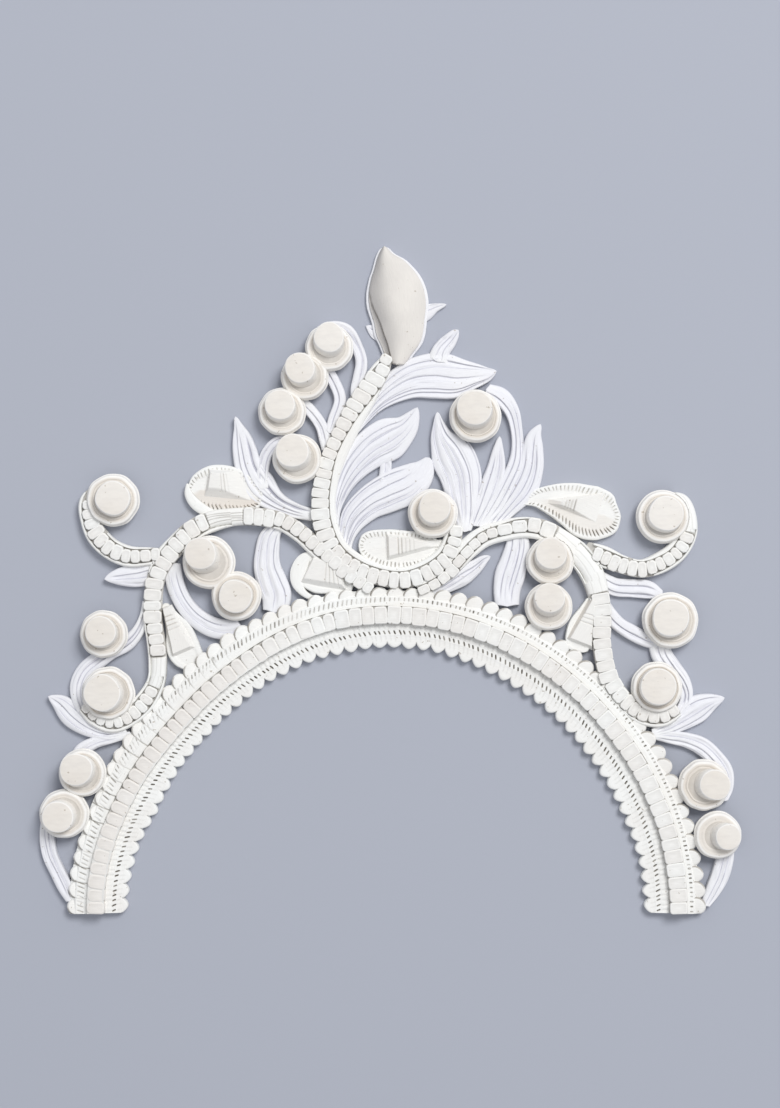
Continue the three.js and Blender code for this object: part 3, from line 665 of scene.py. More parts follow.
# Along each stem, in millimetres: from, to, what is carved there and the pitch of its beads.
STEM_RUNS = {
    "stem_centre": [(0, 36, "beads", 3.5), (36, 62, "low beads", 3.1), (62, 121, "beads", 3.5)],
    "scroll_left": [(0, 50, "beads", 3.4), (50, 62, "block", None), (62, 113.5, "beads", 3.8),
                    (113.9, 124, "plain", None), (124, 153.8, "beads", 3.1)],
    "scroll_right": [(0, 26, "low beads", 3.6), (26, 33, "beads", 3.5), (33, 52, "beads", 4.6),
                     (52, 77, "plain", None), (77, 110, "low beads", 3.7),
                     (110, 134, "beads", 3.4)],
    "volute_left": [(2.5, 38, "beads", 3.2)],
    "volute_right": [(3, 40, "beads", 3.0), (40, 54.5, "plain", None)],
}

# The grooves along a stretch without beads: their places as shares of its width, and how deep.
STEM_LINES = {"block": ((0.22, 0.42, 0.6, 0.8), 0.6), "plain": ((0.3, 0.72), 0.25)}

# Along each stem, in millimetres: where the row of beads has its right and its left edge,
# measured from the middle of the stem. A white rail fills what is left of the width.
STEM_EDGES = {
    "stem_centre": [
        (0, -1.2, 1.6), (4, -1.4, 2.9), (10, -2.9, 2.9), (18, -3.9, 1.9), (25, -4.2, 1.1),
        (31, -4.3, 0.6), (37, -4.2, 0.6), (45, -3.6, 1.4), (55, -3.8, 1.9), (65, -3.2, 2.0),
        (97, -3.8, 1.9), (121, -3.2, 1.6)],
    "scroll_left": [
        (0, -1.5, 1.9), (20, -2.2, 1.7), (37, -2.5, 1.7), (41, -2.5, 2.5), (50, -2.4, 2.4),
        (62, -3.0, 2.0), (66, -2.8, 2.5), (75, -2.6, 2.7), (80, -2.1, 2.8), (90, -2.3, 2.6),
        (113, -2.1, 2.4), (125, -2.0, 2.0), (130, -2.4, 2.3), (138, -1.9, 2.2),
        (145, -1.7, 2.0), (154, -1.7, 2.0)],
    "scroll_right": [
        (0, -2.4, 0.6), (20, -2.2, 1.0), (27, -1.6, 1.6), (34, -1.5, 1.9), (39, -1.5, 2.5),
        (46, -1.4, 2.8), (53, -2.4, 3.0), (60, -3.2, 3.1), (75, -3.0, 3.2), (80, -2.4, 3.0),
        (100, -2.4, 3.1), (110, -2.4, 2.5), (121, -2.2, 2.4), (134, -2.0, 2.2)],
    "volute_left": [
        (0, -2.0, 1.2), (10, -2.3, 2.0), (20, -2.6, 2.5), (26, -2.8, 2.4), (32, -2.6, 1.8),
        (38, -0.8, 1.4), (43, 0, 1)],
    "volute_right": [
        (0, -2.2, 2.0), (10, -2.6, 2.2), (20, -2.5, 2.1), (30, -2.3, 1.8), (40, -2.6, 1.9),
        (47, -2.8, 2.2), (55, -1, 1)],
}


def carve_stem(bm, name, rows, carving, rng):
    """A strip with its beads and its plain stretches, and with a rail in the room beside them."""
    line = Line(rows, step=0.3)
    line.taper(start=0.6, end=9.0 if name.startswith("volute") else 0.8)
    across = np.linspace(-1, 1, 45)
    grid = x, y, along, offset = line.spread(across)
    half = line.half[:, None]
    left, right = bead_edges(name, along, half)
    beyond = np.maximum(offset - left, right - offset)
    room = np.where(offset > (left + right) / 2, half - left, half + right)
    rail = smooth(0.0, 0.3, beyond) * (1 - 0.5 * smooth(0.6, 1.0, beyond / np.maximum(room, 0.1)))
    z = STEM_BASE - 0.1 + (STEM_TOP - 1.0 - STEM_BASE) * rail * smooth(0.2, 0.6, room)
    # Painted shade: dark between and under the beads, and along the rail's edge beside them.
    groove = np.where(beyond > 0, 0.45 * (1 - smooth(0.05, 0.22, beyond)), 0.65)
    inside = (offset - right) / np.maximum(left - right, 0.1)
    for start, end, kind, pitch in STEM_RUNS[name]:
        if "beads" in kind:
            bead_row(bm, name, line, start, min(end, line.length), pitch, kind, carving, rng)
            continue
        here = (along >= start) & (along <= end) & (inside > 0) & (inside < 1)
        height, painted_shade = plain_run(kind, start, end, along, inside, left - right)
        z, groove = np.where(here, height, z), np.where(here, painted_shade, groove)
    z = z - 0.4 * smooth(0.94, 1, np.abs(across))
    thick_sheet(bm, grid, under_buttons(x, y, z), groove)


def plain_run(kind, start, end, along, inside, width):
    """The height of a stretch without beads, a ridge with a few long grooves, and the painted shade
    in those grooves.
    """
    lines, strength = STEM_LINES[kind]
    body = np.clip(1 - np.abs(2 * inside - 1) ** 3, 0, 1) ** 0.5
    ends = smooth(start, start + 0.5, along) * (1 - smooth(end - 0.5, end, along))
    height = STEM_BASE - 0.2 + (BEAD_TOP - STEM_BASE) * body * (0.4 + 0.6 * ends)
    painted_shade = np.zeros(height.shape)
    for place in lines:
        slant = place + 0.08 * np.sin(2.2 * (along - start) / (end - start) + 5 * place)
        cut = strength * bump((inside - slant) * width, 0.28)
        height = height - 0.35 * cut
        painted_shade = np.maximum(painted_shade, cut)
    return height, painted_shade * (body > 0.2)


def bead_edges(name, along, half):
    """The left and right edge of the beads, out to the stem's own edge where that is near."""
    marks, right, left = np.array(STEM_EDGES[name]).T
    left, right = np.interp(along, marks, left), np.interp(along, marks, right)
    near, rim = 0.8, 0.03
    left = np.where(half - left < near, half - rim, left)
    right = np.where(half + right < near, rim - half, right)
    return left, right


def bead_row(bm, name, line, start, end, pitch, kind, carving, rng):
    """Blocks pressed close together along part of a stem."""
    corner, roundness = (0.5, 0.7) if kind == "low beads" else (0.75, 1.1)
    count = max(round((end - start) / pitch), 1)
    cuts = np.linspace(start, end, count + 1)
    cuts[1:-1] += draws(rng, count - 1, -0.08, 0.08) * pitch
    for first, last in zip(cuts, cuts[1:]):
        middle = (first + last) / 2
        centre, travel, half = line.at(middle)
        left, right = map(float, bead_edges(name, middle, half))
        aside = (left + right) / 2 + rng.uniform(-0.1, 0.1)
        centre = centre + Vector((-travel.y, travel.x)) * aside
        if any((centre - SHIFT - Vector(b[:2])).length < b[2] - 0.6 for b in BUTTONS.values()):
            continue
        size = (last - first + 0.05, (left - right) * rng.uniform(0.97, 1.04))
        top = BEAD_TOP - rng.uniform(0, 0.2)
        add_bead(bm, centre, travel, size, 0.4 * STEM_TOP, top, (corner, corner),
                 carving.bead_bevel / MM * roundness, rng)


def add_bead(bm, centre, travel, size, bottom, top, corners, rounding, rng, aged=0.0, right_side_shade=1.0):
    """A block lying across the way of travel, with rounded edges and a low cushion on top.
    corners is how much its two corners on the left and its two on the right are cut off, and
    the last argument is how much of the painted shade its right side takes."""
    length, width = size
    half = (top - bottom) / 2
    made = bmesh.ops.create_cube(bm, size=1)["verts"]
    bmesh.ops.transform(bm, matrix=Matrix.Diagonal((length, width, 2 * half, 1)), verts=made)
    for side, corner in zip((1, -1), corners):
        upright = [
            edge for edge in edges_of(made)
            if all(abs(side * vert.co.y - width / 2) < TINY for vert in edge.verts)
            and abs(edge.verts[0].co.z - edge.verts[1].co.z) > half]
        made = bevel(bm, made, upright, corner, 2 if corner > 0.8 else 1)
    made = bevel(bm, made, above(edges_of(made), half - TINY), rounding, 2)
    crown = above(faces_of(made), half - TINY)
    ring = bmesh.ops.inset_region(bm, faces=crown, thickness=0.28, depth=-0.04)["faces"]
    crease = {vert for face in crown for vert in face.verts}
    cushion = bmesh.ops.poke(bm, faces=crown, offset=0.12)["verts"]
    made = dict.fromkeys(made + [vert for face in ring for vert in face.verts] + cushion)
    place = (
        Matrix.Translation((centre.x, centre.y, (bottom + top) / 2))
        @ Matrix.Rotation(math.atan2(travel.y, travel.x) + rng.uniform(-0.05, 0.05), 4, "Z")
        @ Matrix.Rotation(rng.uniform(-0.03, 0.03), 4, "X")
        @ Matrix.Rotation(rng.uniform(-0.03, 0.03), 4, "Y"))
    tone = rng.uniform(0, 0.5) + aged
    groove, shade, grain = layers_of(bm)
    for vert in made:
        # Painted shade: dark underneath and low on the sides, and a faint line round the cushion.
        if vert.co.z < 0:
            painted_shade = 0.8
        elif vert.co.z < half - 0.9 * rounding:
            painted_shade = 0.4
        else:
            painted_shade = 0.16 if vert in crease else 0.0
        vert[groove] = painted_shade * (right_side_shade if vert.co.y < -0.3 * width else 1.0)
        vert[shade] = tone
        vert.co = place @ vert.co
        vert[grain] = (vert.co.x, vert.co.y, 0)


class OBJECT_OT_crown_stems(bpy.types.Operator):
    """Carve the beaded strips, each with a smooth rail beside its beads"""

    bl_idname = "object.crown_stems"
    bl_label = "Stems and scrolls"

    def execute(self, context):
        for seed, (node, rows) in enumerate(STEMS.items()):
            bm = new_shape()
            carve_stem(bm, node, rows, context.scene.crown_carving, random.Random(200 + seed))
            finish_piece(bm, node, pith_material("carved pith"))
        return {"FINISHED"}


# ---- Band ------------------------------------------------------------------------------------


def arch(degrees, offset):
    """x and y over the arch of the band; 0 degrees is its left end and 180 its right end."""
    near = np.minimum(degrees, 180 - degrees)
    amount = np.where(degrees < 90, BAND["left"], BAND["right"])
    pressed = amount * np.sin(np.pi * np.clip(near / BAND["shoulder"], 0, 1)) ** 2
    reach = BAND["radius"] - pressed + offset
    turn = np.radians(degrees)
    x = BAND["x"] + SHIFT.x - reach * np.cos(turn)
    y = BAND["y"] + SHIFT.y + reach * np.sin(turn)
    return x, y


def band_grid(degrees, offset):
    """x, y, how far along the arch and how far outside it."""
    return *arch(degrees, offset), np.radians(degrees) * BAND["radius"], offset


def span(ticks, samples_per_tick):
    """Degrees from end to end of the band, and how many ticks lie before each of them."""
    samples = ticks * samples_per_tick + 1
    degrees = np.linspace(-BAND["past"], 180 + BAND["past"], samples)
    return degrees[:, None], np.linspace(0, ticks, samples)[:, None]


def course(table, degrees):
    """The value of a table of (degrees, value) rows there."""
    marks, values = np.array(table).T
    return np.interp(degrees, marks, values)


def tick_row(phase, across, slant, rng, width=0.24, weakest=0.7):
    """How deep each tick is cut: 1 along its middle. phase counts the ticks along the row, and
    across runs from -1 to 1 over it."""
    phase, across = np.broadcast_arrays(phase, across)
    count = int(phase.max()) + 1
    strengths = draws(rng, count, weakest, 1.0)
    lengths = draws(rng, count, 0.75, 1.0)
    shifts = draws(rng, count, -0.12, 0.12)
    which = np.clip(phase.astype(int), 0, count - 1)
    middle = phase % 1 - 0.5 + slant * across + shifts[which]
    reach = np.abs(across) / lengths[which]
    slim = 0.4 + 0.6 * np.sqrt(np.clip(1 - reach ** 2, 0, 1))
    cut = 1 - smooth(0.03, width * slim, np.abs(middle))
    return strengths[which] * (1 - smooth(0.7, 1.0, reach)) * cut


class OBJECT_OT_crown_band(bpy.types.Operator):
    """Carve the band: backing with its ticked inner row, outer scallops and the rope of beads"""

    bl_idname = "object.crown_band"
    bl_label = "Band"

    def execute(self, context):
        carving = context.scene.crown_carving
        self.backing(carving)
        self.outer_scallops(carving)
        for stretch in range(ROPE["stretches"]):
            self.rope(stretch, carving)
        return {"FINISHED"}

    def backing(self, carving):
        """The sheet under the band, with petals and a row of ticks along its inner edge."""
        rng = random.Random(310)
        petals, ticks_per_petal = INNER["petals"], 3
        degrees, phase = span(ticks_per_petal * petals, 10)
        petal = phase / ticks_per_petal
        which = np.clip(petal.astype(int), 0, petals - 1)
        depths = INNER["notch"] * draws(rng, petals, 0.75, 1.0)
        tips = draws(rng, petals, -0.15, 0.25)
        tones = draws(rng, petals, 0, 0.3)
        from_notch = 0.5 - np.abs(petal % 1 - 0.5)
        out = 1 - (1 - 2 * from_notch) ** 2.0
        edge = course(INNER_TIPS, degrees) + tips[which] * out + depths[which] * (1 - out)
        row = course(INNER_TICKS, degrees)
        middle = course(ROPE_MIDDLE, degrees)
        # Columns from the inner edge out: petals, ticks, plain strip, and what lies hidden.
        in_petals, in_ticks, in_strip, hidden = (
            slice(0, 8), slice(8, 18), slice(18, 23), slice(23, 26))
        wide = 0.85  # half width of the row of ticks
        petal_share = np.array([0, 0.05, 0.12, 0.25, 0.42, 0.6, 0.8, 1])
        strip_share = np.array([0.05, 0.25, 0.8, 0.97, 1])
        offset = np.hstack([
            between(edge, row - 0.9, petal_share), row + np.linspace(-wide, wide, 10),
            between(row + 0.9, middle - 2.8, strip_share), middle + np.array([-2.6, 0, 5.5])])
        z = np.full(offset.shape, STRIP_TOP)
        groove, shade = np.zeros(offset.shape), np.zeros(offset.shape)
        z[:, in_petals] -= np.array([0.9, 0.55, 0.38, 0.3, 0.28, 0.25, 0.2, 0.12])
        crease = (1 - smooth(0.0, 0.06, from_notch)) * (1 - smooth(0.03, 0.3, petal_share))
        z[:, in_petals] -= 0.4 * crease
        # A dark line of painted shade runs down each notch between the petals.
        groove[:, in_petals] = 0.7 * crease * (petal_share > 0.03)
        shade[:, in_petals] = tones[which] * np.array([0, 0, 0.3, 0.8, 1, 1, 0.8, 0.4])
        slant = INNER["slant"]
        cut = tick_row(phase, np.linspace(-1, 1, 10), slant, rng, 0.21, 0.6)
        z[:, in_ticks] -= 0.1 + carving.tick_depth / MM * cut
        # The ticks are painted dark as shade in their cuts.
        groove[:, in_ticks] = np.clip(2.0 * cut, 0, 1.5)
        # Painted shade runs on from each tick a little way over the petals, and on the strip each
        # tick meets a faint ridge, lightly painted as shade, with more painted shade beside the
        # rope.
        beside = slice(4, 8)
        tick_tail_shade = tick_row(phase - 0.25, np.linspace(-1, 0.4, 4), slant, rng)
        groove[:, beside] = np.maximum(groove[:, beside], 0.22 * tick_tail_shade)
        ridge = tick_row(phase + 0.1, np.linspace(-0.5, 0.9, 5), slant, rng, 0.3, 0.2)
        z[:, in_strip] -= np.array([0.0, 0.0, 0.0, 0.05, 0.25]) + 0.25 * ridge
        groove[:, in_strip] = 0.2 * ridge + np.array([0, 0, 0, 0, 0.2])
        # What lies hidden under the rope is painted dark as shade where it shows.
        z[:, hidden] = 1.6
        groove[:, hidden] = 0.8
        bm = new_shape()
        thick_sheet(bm, band_grid(degrees, offset), np.minimum(z, STRIP_TOP), groove, shade)
        finish_piece(bm, "band_backing", pith_material("carved pith"))

    def outer_scallops(self, carving):
        """A lip beside the rope, a row of ticks, and coins of pith that overlap like scales."""
        rng = random.Random(300)
        degrees, phase = span(OUTER["ticks"], 8)
        ticks_from = course(OUTER_TICKS_FROM, degrees)
        ticks_to = course(OUTER_TICKS_TO, degrees)
        lip_from = course(ROPE_MIDDLE, degrees) + 2.85
        # Columns from the rope out: the lip, the ticks, and what slopes down under the coins.
        in_ticks, under_coins = slice(5, 16), slice(16, 19)
        ticked = np.linspace(0, 1, 11)
        offset = np.hstack([
            between(lip_from, ticks_from - 0.1, np.array([0.0, 0.1, 0.3, 0.9, 1.0])),
            between(ticks_from, ticks_to, ticked), ticks_to + np.array([0.2, 0.45, 2.2])])
        z = np.full(offset.shape, SCALLOP_TOP - 0.05)
        groove = np.zeros(offset.shape)
        # Painted shade along the lip's edge by the rope.
        z[:, 0] -= 0.3
        groove[:, 0] = 0.35
        # Over the left shoulder two rows of shorter ticks take turns.
        across = 2 * ticked - 1
        slant = -0.3 * (1 - smooth(75, 95, degrees))
        single = tick_row(phase, across, slant, rng, 0.2, 0.3)
        upper = tick_row(phase, 2 * across - 1, slant, rng, 0.2, 0.3)
        lower = tick_row(phase + 0.5, 2 * across + 1, slant, rng, 0.2, 0.3)
        twice = smooth(23, 29, degrees) * (1 - smooth(52, 60, degrees))
        cut = (1 - twice) * single + twice * np.maximum(upper, 0.3 * lower)
        z[:, in_ticks] -= 0.1 + 0.8 * carving.tick_depth / MM * cut
        # The ticks are painted dark as shade in their cuts, more in some stretches of the band.
        groove[:, in_ticks] = np.clip(2.2 * cut, 0, 1.2) * course(OUTER_TICK_SHADE, degrees)
        z[:, under_coins] -= np.array([0.2, 0.7, 1.6])
        step = (180 + 2 * BAND["past"]) / OUTER["coins"]
        seam = self.coin_seams(degrees, offset - lip_from, ticks_to - lip_from, step, rng)
        bm = new_shape()
        for k in range(OUTER["coins"]):
            self.coin(bm, -BAND["past"] + (k + 0.5 + rng.uniform(-0.05, 0.05)) * step, carving, rng)
        thick_sheet(bm, band_grid(degrees, offset), z - 0.4 * seam, np.maximum(groove, seam),
                    floor=SCALLOP_BOTTOM)
        finish_piece(bm, "band_outer_scallops", pith_material("carved pith"))

    def coin_seams(self, degrees, out, far, step, rng):
        """The outlines of the coins where they run on over the ticks to the lip, cut in a little
        and painted dark as shade.
        """
        place = (degrees + BAND["past"]) / step
        which = np.rint(place).astype(int)
        strengths = draws(rng, OUTER["coins"] + 1, 0.3, 1.0)
        leans = draws(rng, OUTER["coins"] + 1, 0.1, 0.5)
        short = 1 - out / far
        apart = (place - which) * math.radians(step) * BAND["radius"] + leans[which] * (
            short + 0.5 * np.sin(4 * short))
        reach = 1 - smooth(0.4, 1.0, short) * smooth(34, 46, degrees)
        return strengths[which] * reach * (1 - smooth(50, 64, degrees)) * bump(apart, 0.32)

    def coin(self, bm, degrees, carving, rng):
        """One scallop: its left edge lies on its neighbour and its right edge under the next."""
        long_half, wide_half, thick = 3.1, 2.8 * rng.uniform(0.96, 1.04), 0.8
        sunk, dip = 1.15, 0.13  # how far down its middle lies, and how far its tip leans
        reach = float(course(COIN_TIPS, degrees)) + rng.uniform(-0.2, 0.15)
        x, y = map(float, arch(np.array(degrees), reach - long_half))
        made = bmesh.ops.create_cone(
            bm, cap_ends=True, segments=20, radius1=1.1, radius2=0.95, depth=1)["verts"]
        bmesh.ops.transform(
            bm, matrix=Matrix.Diagonal((long_half, wide_half, thick, 1)), verts=made)
        made = bevel(bm, made, above(edges_of(made), 0), 0.22, 2)
        tone = rng.uniform(0, 0.3)
        place = (
            Matrix.Translation((x, y, SCALLOP_TOP - sunk))
            @ Matrix.Rotation(math.pi - math.radians(degrees) + rng.uniform(-0.05, 0.05), 4, "Z")
            @ Matrix.Rotation(carving.coin_tilt * rng.uniform(0.8, 1.2), 4, "X")
            @ Matrix.Rotation(-dip, 4, "Y"))
        groove, shade, grain = layers_of(bm)
        for vert in made:
            # Painted shade along the foot of the coin's left half and under it.
            left_edge_shade = max(vert.co.y / wide_half, 0) ** 0.35
            vert[groove] = left_edge_shade if vert.co.z < 0 else 0.8 * left_edge_shade * (vert.co.z < 0.25)
            vert[shade] = tone
            vert.co = place @ vert.co
            vert.co.z = min(max(vert.co.z, SCALLOP_BOTTOM), SCALLOP_TOP - 0.01)
            vert[grain] = (vert.co.x, vert.co.y, 0)

    def rope(self, stretch, carving):
        """A row of rounded blocks pressed close together, on a low core."""
        rng = random.Random(400 + stretch)
        beads = ROPE["beads"] // ROPE["stretches"]
        each = (180 + 2 * BAND["past"]) / ROPE["beads"]
        start = -BAND["past"] + stretch * beads * each
        bm = new_shape()
        across = np.linspace(-0.93, 0.93, 7)
        core, most = 2.4, 1.5  # height of the core, and of the glue on it where it fills a gap
        degrees = np.linspace(start + 0.1, start + beads * each - 0.1, 4 * beads + 1)[:, None]
        offset = across * ROPE["half"] + course(ROPE_MIDDLE, degrees)
        # Glue fills the gaps on the inner side of the worn beads, and all of them at the left end.
        filled = np.maximum(smooth(-0.1, -0.8, across) * (degrees < ROPE["worn_to"]),
                            0.85 * (1 - smooth(12, 26, degrees)))
        # The core is painted dark as shade where it shows between the beads, less where it is
        # filled.
        thick_sheet(bm, (*arch(degrees, offset), 0, 0), ROPE_BOTTOM + core + most * filled,
                    0.8 - 0.65 * filled, floor=ROPE_BOTTOM)
        cuts = start + np.arange(beads + 1) * each
        cuts[1:-1] += draws(rng, beads - 1, -0.1, 0.1) * each
        for first, last in zip(cuts, cuts[1:]):
            ends = np.array([first, last])
            x, y = arch(ends, course(ROPE_MIDDLE, ends) + rng.uniform(-0.1, 0.1))
            travel = Vector((x[1] - x[0], y[1] - y[0]))
            centre = Vector((x.mean(), y.mean()))
            size = (travel.length + 0.06, 2 * ROPE["half"] * rng.uniform(0.97, 1.03))
            worn = first < ROPE["worn_to"]
            corners = (1.4, 0.9) if worn else (0.9, 0.45) if first < 88 else (0.4, 0.9)
            rounding = carving.bead_bevel / MM * (1.35 if worn else 1.0)
            top = ROPE_TOP - 0.15 - rng.uniform(0, 0.15)
            aged = 0.7 - 0.7 * float(smooth(45, 80, first))
            right_side_shade = float(course(ROPE_INNER_SHADE, first))
            add_bead(bm, centre, travel.normalized(), size, ROPE_BOTTOM + 0.1, top, corners,
                     rounding, rng, aged, right_side_shade)
        finish_piece(bm, f"band_rope_{stretch + 1}", pith_material("carved pith"))


# ---- Bud, buttons and shells -----------------------------------------------------------------


class OBJECT_OT_crown_bud(bpy.types.Operator):
    """Carve the domed bud with its crease, and the white leaf behind it"""

    bl_idname = "object.crown_bud"
    bl_label = "Bud"

    def execute(self, context):
        self.white_leaf(context.scene.crown_carving)
        self.dome()
        return {"FINISHED"}

    def white_leaf(self, carving):
        """A plain leaf a little wider than the bud, with a thorn on either side."""
        bm = new_shape()
        line = Line(BUD, step=0.5)
        line.half = line.half + BUD_RIM
        line.taper(start=0.5, end=1.0)
        across = shares(0.94, 13, 0.97, 1)
        thick_sheet(bm, line.spread(across),
                    BUD_BACKING_TOP - 0.3 * smooth(0.96, 1, np.abs(across)))
        rng = random.Random(500)
        for thorn in BUD_THORNS:
            carve_blade(bm, thorn, 2, carving, rng, BUD_BACKING_TOP)
        finish_piece(bm, "bud_backing", pith_material("white pith"))

    def dome(self):
        """The bud itself. A crease parts its face from a slope on its left. Painted shade makes the
        slope grey and darkens the face beside the crease and on the upper left, and a painted
        highlight lightens the right rim.
        """
        bm = new_shape()
        line = Line(BUD, step=0.4)
        line.half = 0.97 * line.half
        line.taper(start=0.5, end=0.6)
        across = shares(0.9, 73, 0.95, 0.985, 1)
        grid = line.spread(across)
        share = grid[2] / line.length
        crease = np.interp(share, [0, 0.2, 0.4, 0.6, 0.7], [0.50, 0.62, 0.80, 0.93, 1.02])
        dome = 1 - np.abs(across + 0.1) ** 2.0 / 1.3
        rise = np.sin(np.pi * np.clip(0.14 + 0.78 * share, 0, 1)) ** 0.6
        z = BUD_FLOOR + 0.5 + (BUD_TOP - BUD_FLOOR - 0.6) * np.clip(dome, 0, 1) * rise
        beyond = smooth(0, 0.04, across - crease)
        z = z - beyond * (0.35 * (z - BUD_FLOOR) + 0.35)
        z = z - 0.35 * smooth(0.93, 1, np.abs(across))
        z = np.maximum(z, BUD_FLOOR + 0.3)
        past = (across - crease) * line.half[:, None]
        # A dark line of painted shade runs along the crease.
        groove = 0.8 * bump(past - 0.15, 0.35) * (1 - smooth(0.6, 0.7, share))
        # Painted shade on the slope past the crease, beside the crease and on the upper left side,
        # and a painted highlight on the right rim.
        down = (across - crease) / (1.001 - np.minimum(crease, 1))
        slope_shade = beyond * (1 - 0.6 * np.clip(down, 0, 1))
        crease_side_shade = 0.45 * smooth(-0.9, 0, across - crease) * (1 - beyond)
        left_side_shade = 0.4 * smooth(0.15, 0.85, across) * smooth(0.25, 0.5, share)
        right_rim_highlight = 0.5 * smooth(0.90, 0.96, -across) * smooth(0.1, 0.2, share)
        shade = np.clip(0.1 + crease_side_shade + left_side_shade + slope_shade - right_rim_highlight, 0, 1)
        thick_sheet(bm, grid, z, groove, shade, BUD_FLOOR)
        finish_piece(bm, "bud", pith_material("bud pith"))


class OBJECT_OT_crown_buttons(bpy.types.Operator):
    """Turn the twenty buttons: a rimmed disc with a leaning cap"""

    bl_idname = "object.crown_buttons"
    bl_label = "Buttons"

    def execute(self, context):
        for seed, (node, row) in enumerate(BUTTONS.items()):
            self.button(node, *row, random.Random(600 + seed))
        return {"FINISHED"}

    def button(self, node, x, y, disc, cap, lean_x, lean_y, rng):
        """A foot as wide as disc, a body with a ring turned in its face, and the cap."""
        body, foot = 0.955 * disc, 1.05 * cap
        gap = body - foot - 1.45
        ring, ring_depth = foot + 0.25 + gap / 2, 0.3 if disc > 8.5 else 0.15
        # Radius and height, from the middle of the underside out and up to the middle of the cap.
        profile = [
            (0, SEAT), (disc - 0.4, SEAT), (disc - 0.1, SEAT + 0.1), (disc, SEAT + 0.35),
            (disc, SEAT + 0.9), (disc - 0.12, SEAT + 1.15), (body + 0.04, SEAT + 1.25),
            (body, SEAT + 1.4), (body - 0.12, DISC_TOP - 0.75), (body - 0.35, DISC_TOP - 0.25),
            (body - 0.8, DISC_TOP - 0.04), (body - 1.2, DISC_TOP),
            (ring + 0.3 * gap, DISC_TOP - 0.02), (ring, DISC_TOP - ring_depth),
            (ring - 0.3 * gap, DISC_TOP - 0.05), (foot + 0.25, DISC_TOP - 0.12),
            (foot + 0.06, DISC_TOP - 0.2), (foot, DISC_TOP - 0.05), (foot - 0.05, DISC_TOP + 0.3),
            (cap + 0.06, CAP_TOP - 0.55), (cap - 0.02, CAP_TOP - 0.22), (cap - 0.2, CAP_TOP - 0.05),
            (cap - 0.45, CAP_TOP), (cap * 0.5, CAP_TOP - 0.03), (0, CAP_TOP - 0.04)]
        bm = new_shape()
        verts = [bm.verts.new((radius, 0, height)) for radius, height in profile]
        edges = [bm.edges.new(pair) for pair in zip(verts, verts[1:])]
        bmesh.ops.spin(bm, geom=verts + edges, cent=(0, 0, 0), axis=(0, 0, 1), dvec=(0, 0, 0),
                       angle=math.tau, steps=64, use_merge=True, use_duplicate=False)
        bmesh.ops.remove_doubles(bm, verts=bm.verts, dist=0.001)
        groove, shade, grain = layers_of(bm)
        swells = [(n, rng.uniform(-0.012, 0.012), rng.uniform(0, math.tau)) for n in (2, 3, 5, 9)]
        cap_swells = [(n, rng.uniform(-0.02, 0.02), rng.uniform(0, math.tau)) for n in (2, 3, 4)]
        tone, slope, way = rng.uniform(0, 0.35), rng.uniform(0, 0.3), rng.uniform(0, math.tau)
        for vert in bm.verts:
            angle = math.atan2(vert.co.y, vert.co.x)
            radius = math.hypot(vert.co.x, vert.co.y)
            in_cap = vert.co.z > DISC_TOP - 0.3 and radius < foot + 0.02
            up = float(smooth(DISC_TOP, CAP_TOP - 0.4, vert.co.z))
            beside_cap = abs(radius - foot) < 0.1 and vert.co.z < DISC_TOP + 0.1
            in_ring = abs(radius - ring) < 0.05 and not in_cap
            # The groove value paints shade round the cap's foot and in the turned ring.
            vert[groove] = 0.5 if beside_cap else ring_depth if in_ring else 0.0
            # Painted highlight: the cap's top edge and the disc's outer rim take no second colour
            # and stay pale, the disc's rim partly the pith's own white edge. The cap's side is kept
            # paler than its top, painted light against the shade on it, and the disc's body darker,
            # partly painted shade round the cap.
            cap_edge_highlight = up > 0.5 and radius > cap - 0.3
            disc_rim_highlight = radius > body - 0.9 and not in_cap
            flat = 0.42 if up > 0.9 else 0.25 if in_cap else 0.55
            vert[shade] = 0.0 if cap_edge_highlight or disc_rim_highlight else flat + 0.5 * tone
            uneven = sum(
                wave * math.cos(n * angle + turn)
                for n, wave, turn in (cap_swells if in_cap else swells))
            vert.co.xy *= 0.985 + uneven
            if in_cap:
                vert.co.xy += (0.6 + 0.4 * up) * Vector((lean_x, lean_y))
            if up > 0.9:
                vert.co.z -= slope * (0.5 + 0.5 * math.cos(angle - way)) * radius / cap
            vert[grain] = (vert.co.x, 0.3 * vert.co.y, vert.co.z)
        bmesh.ops.translate(bm, vec=(x + SHIFT.x, y + SHIFT.y, 0), verts=bm.verts)
        finish_piece(bm, node, pith_material("button pith"), sharp=40)


WEDGE_FLOOR = 1.5  # the wedges start this high, inside the bases of their shells
WEDGE_TINT = 0.2  # how much their flat tops show the second colour

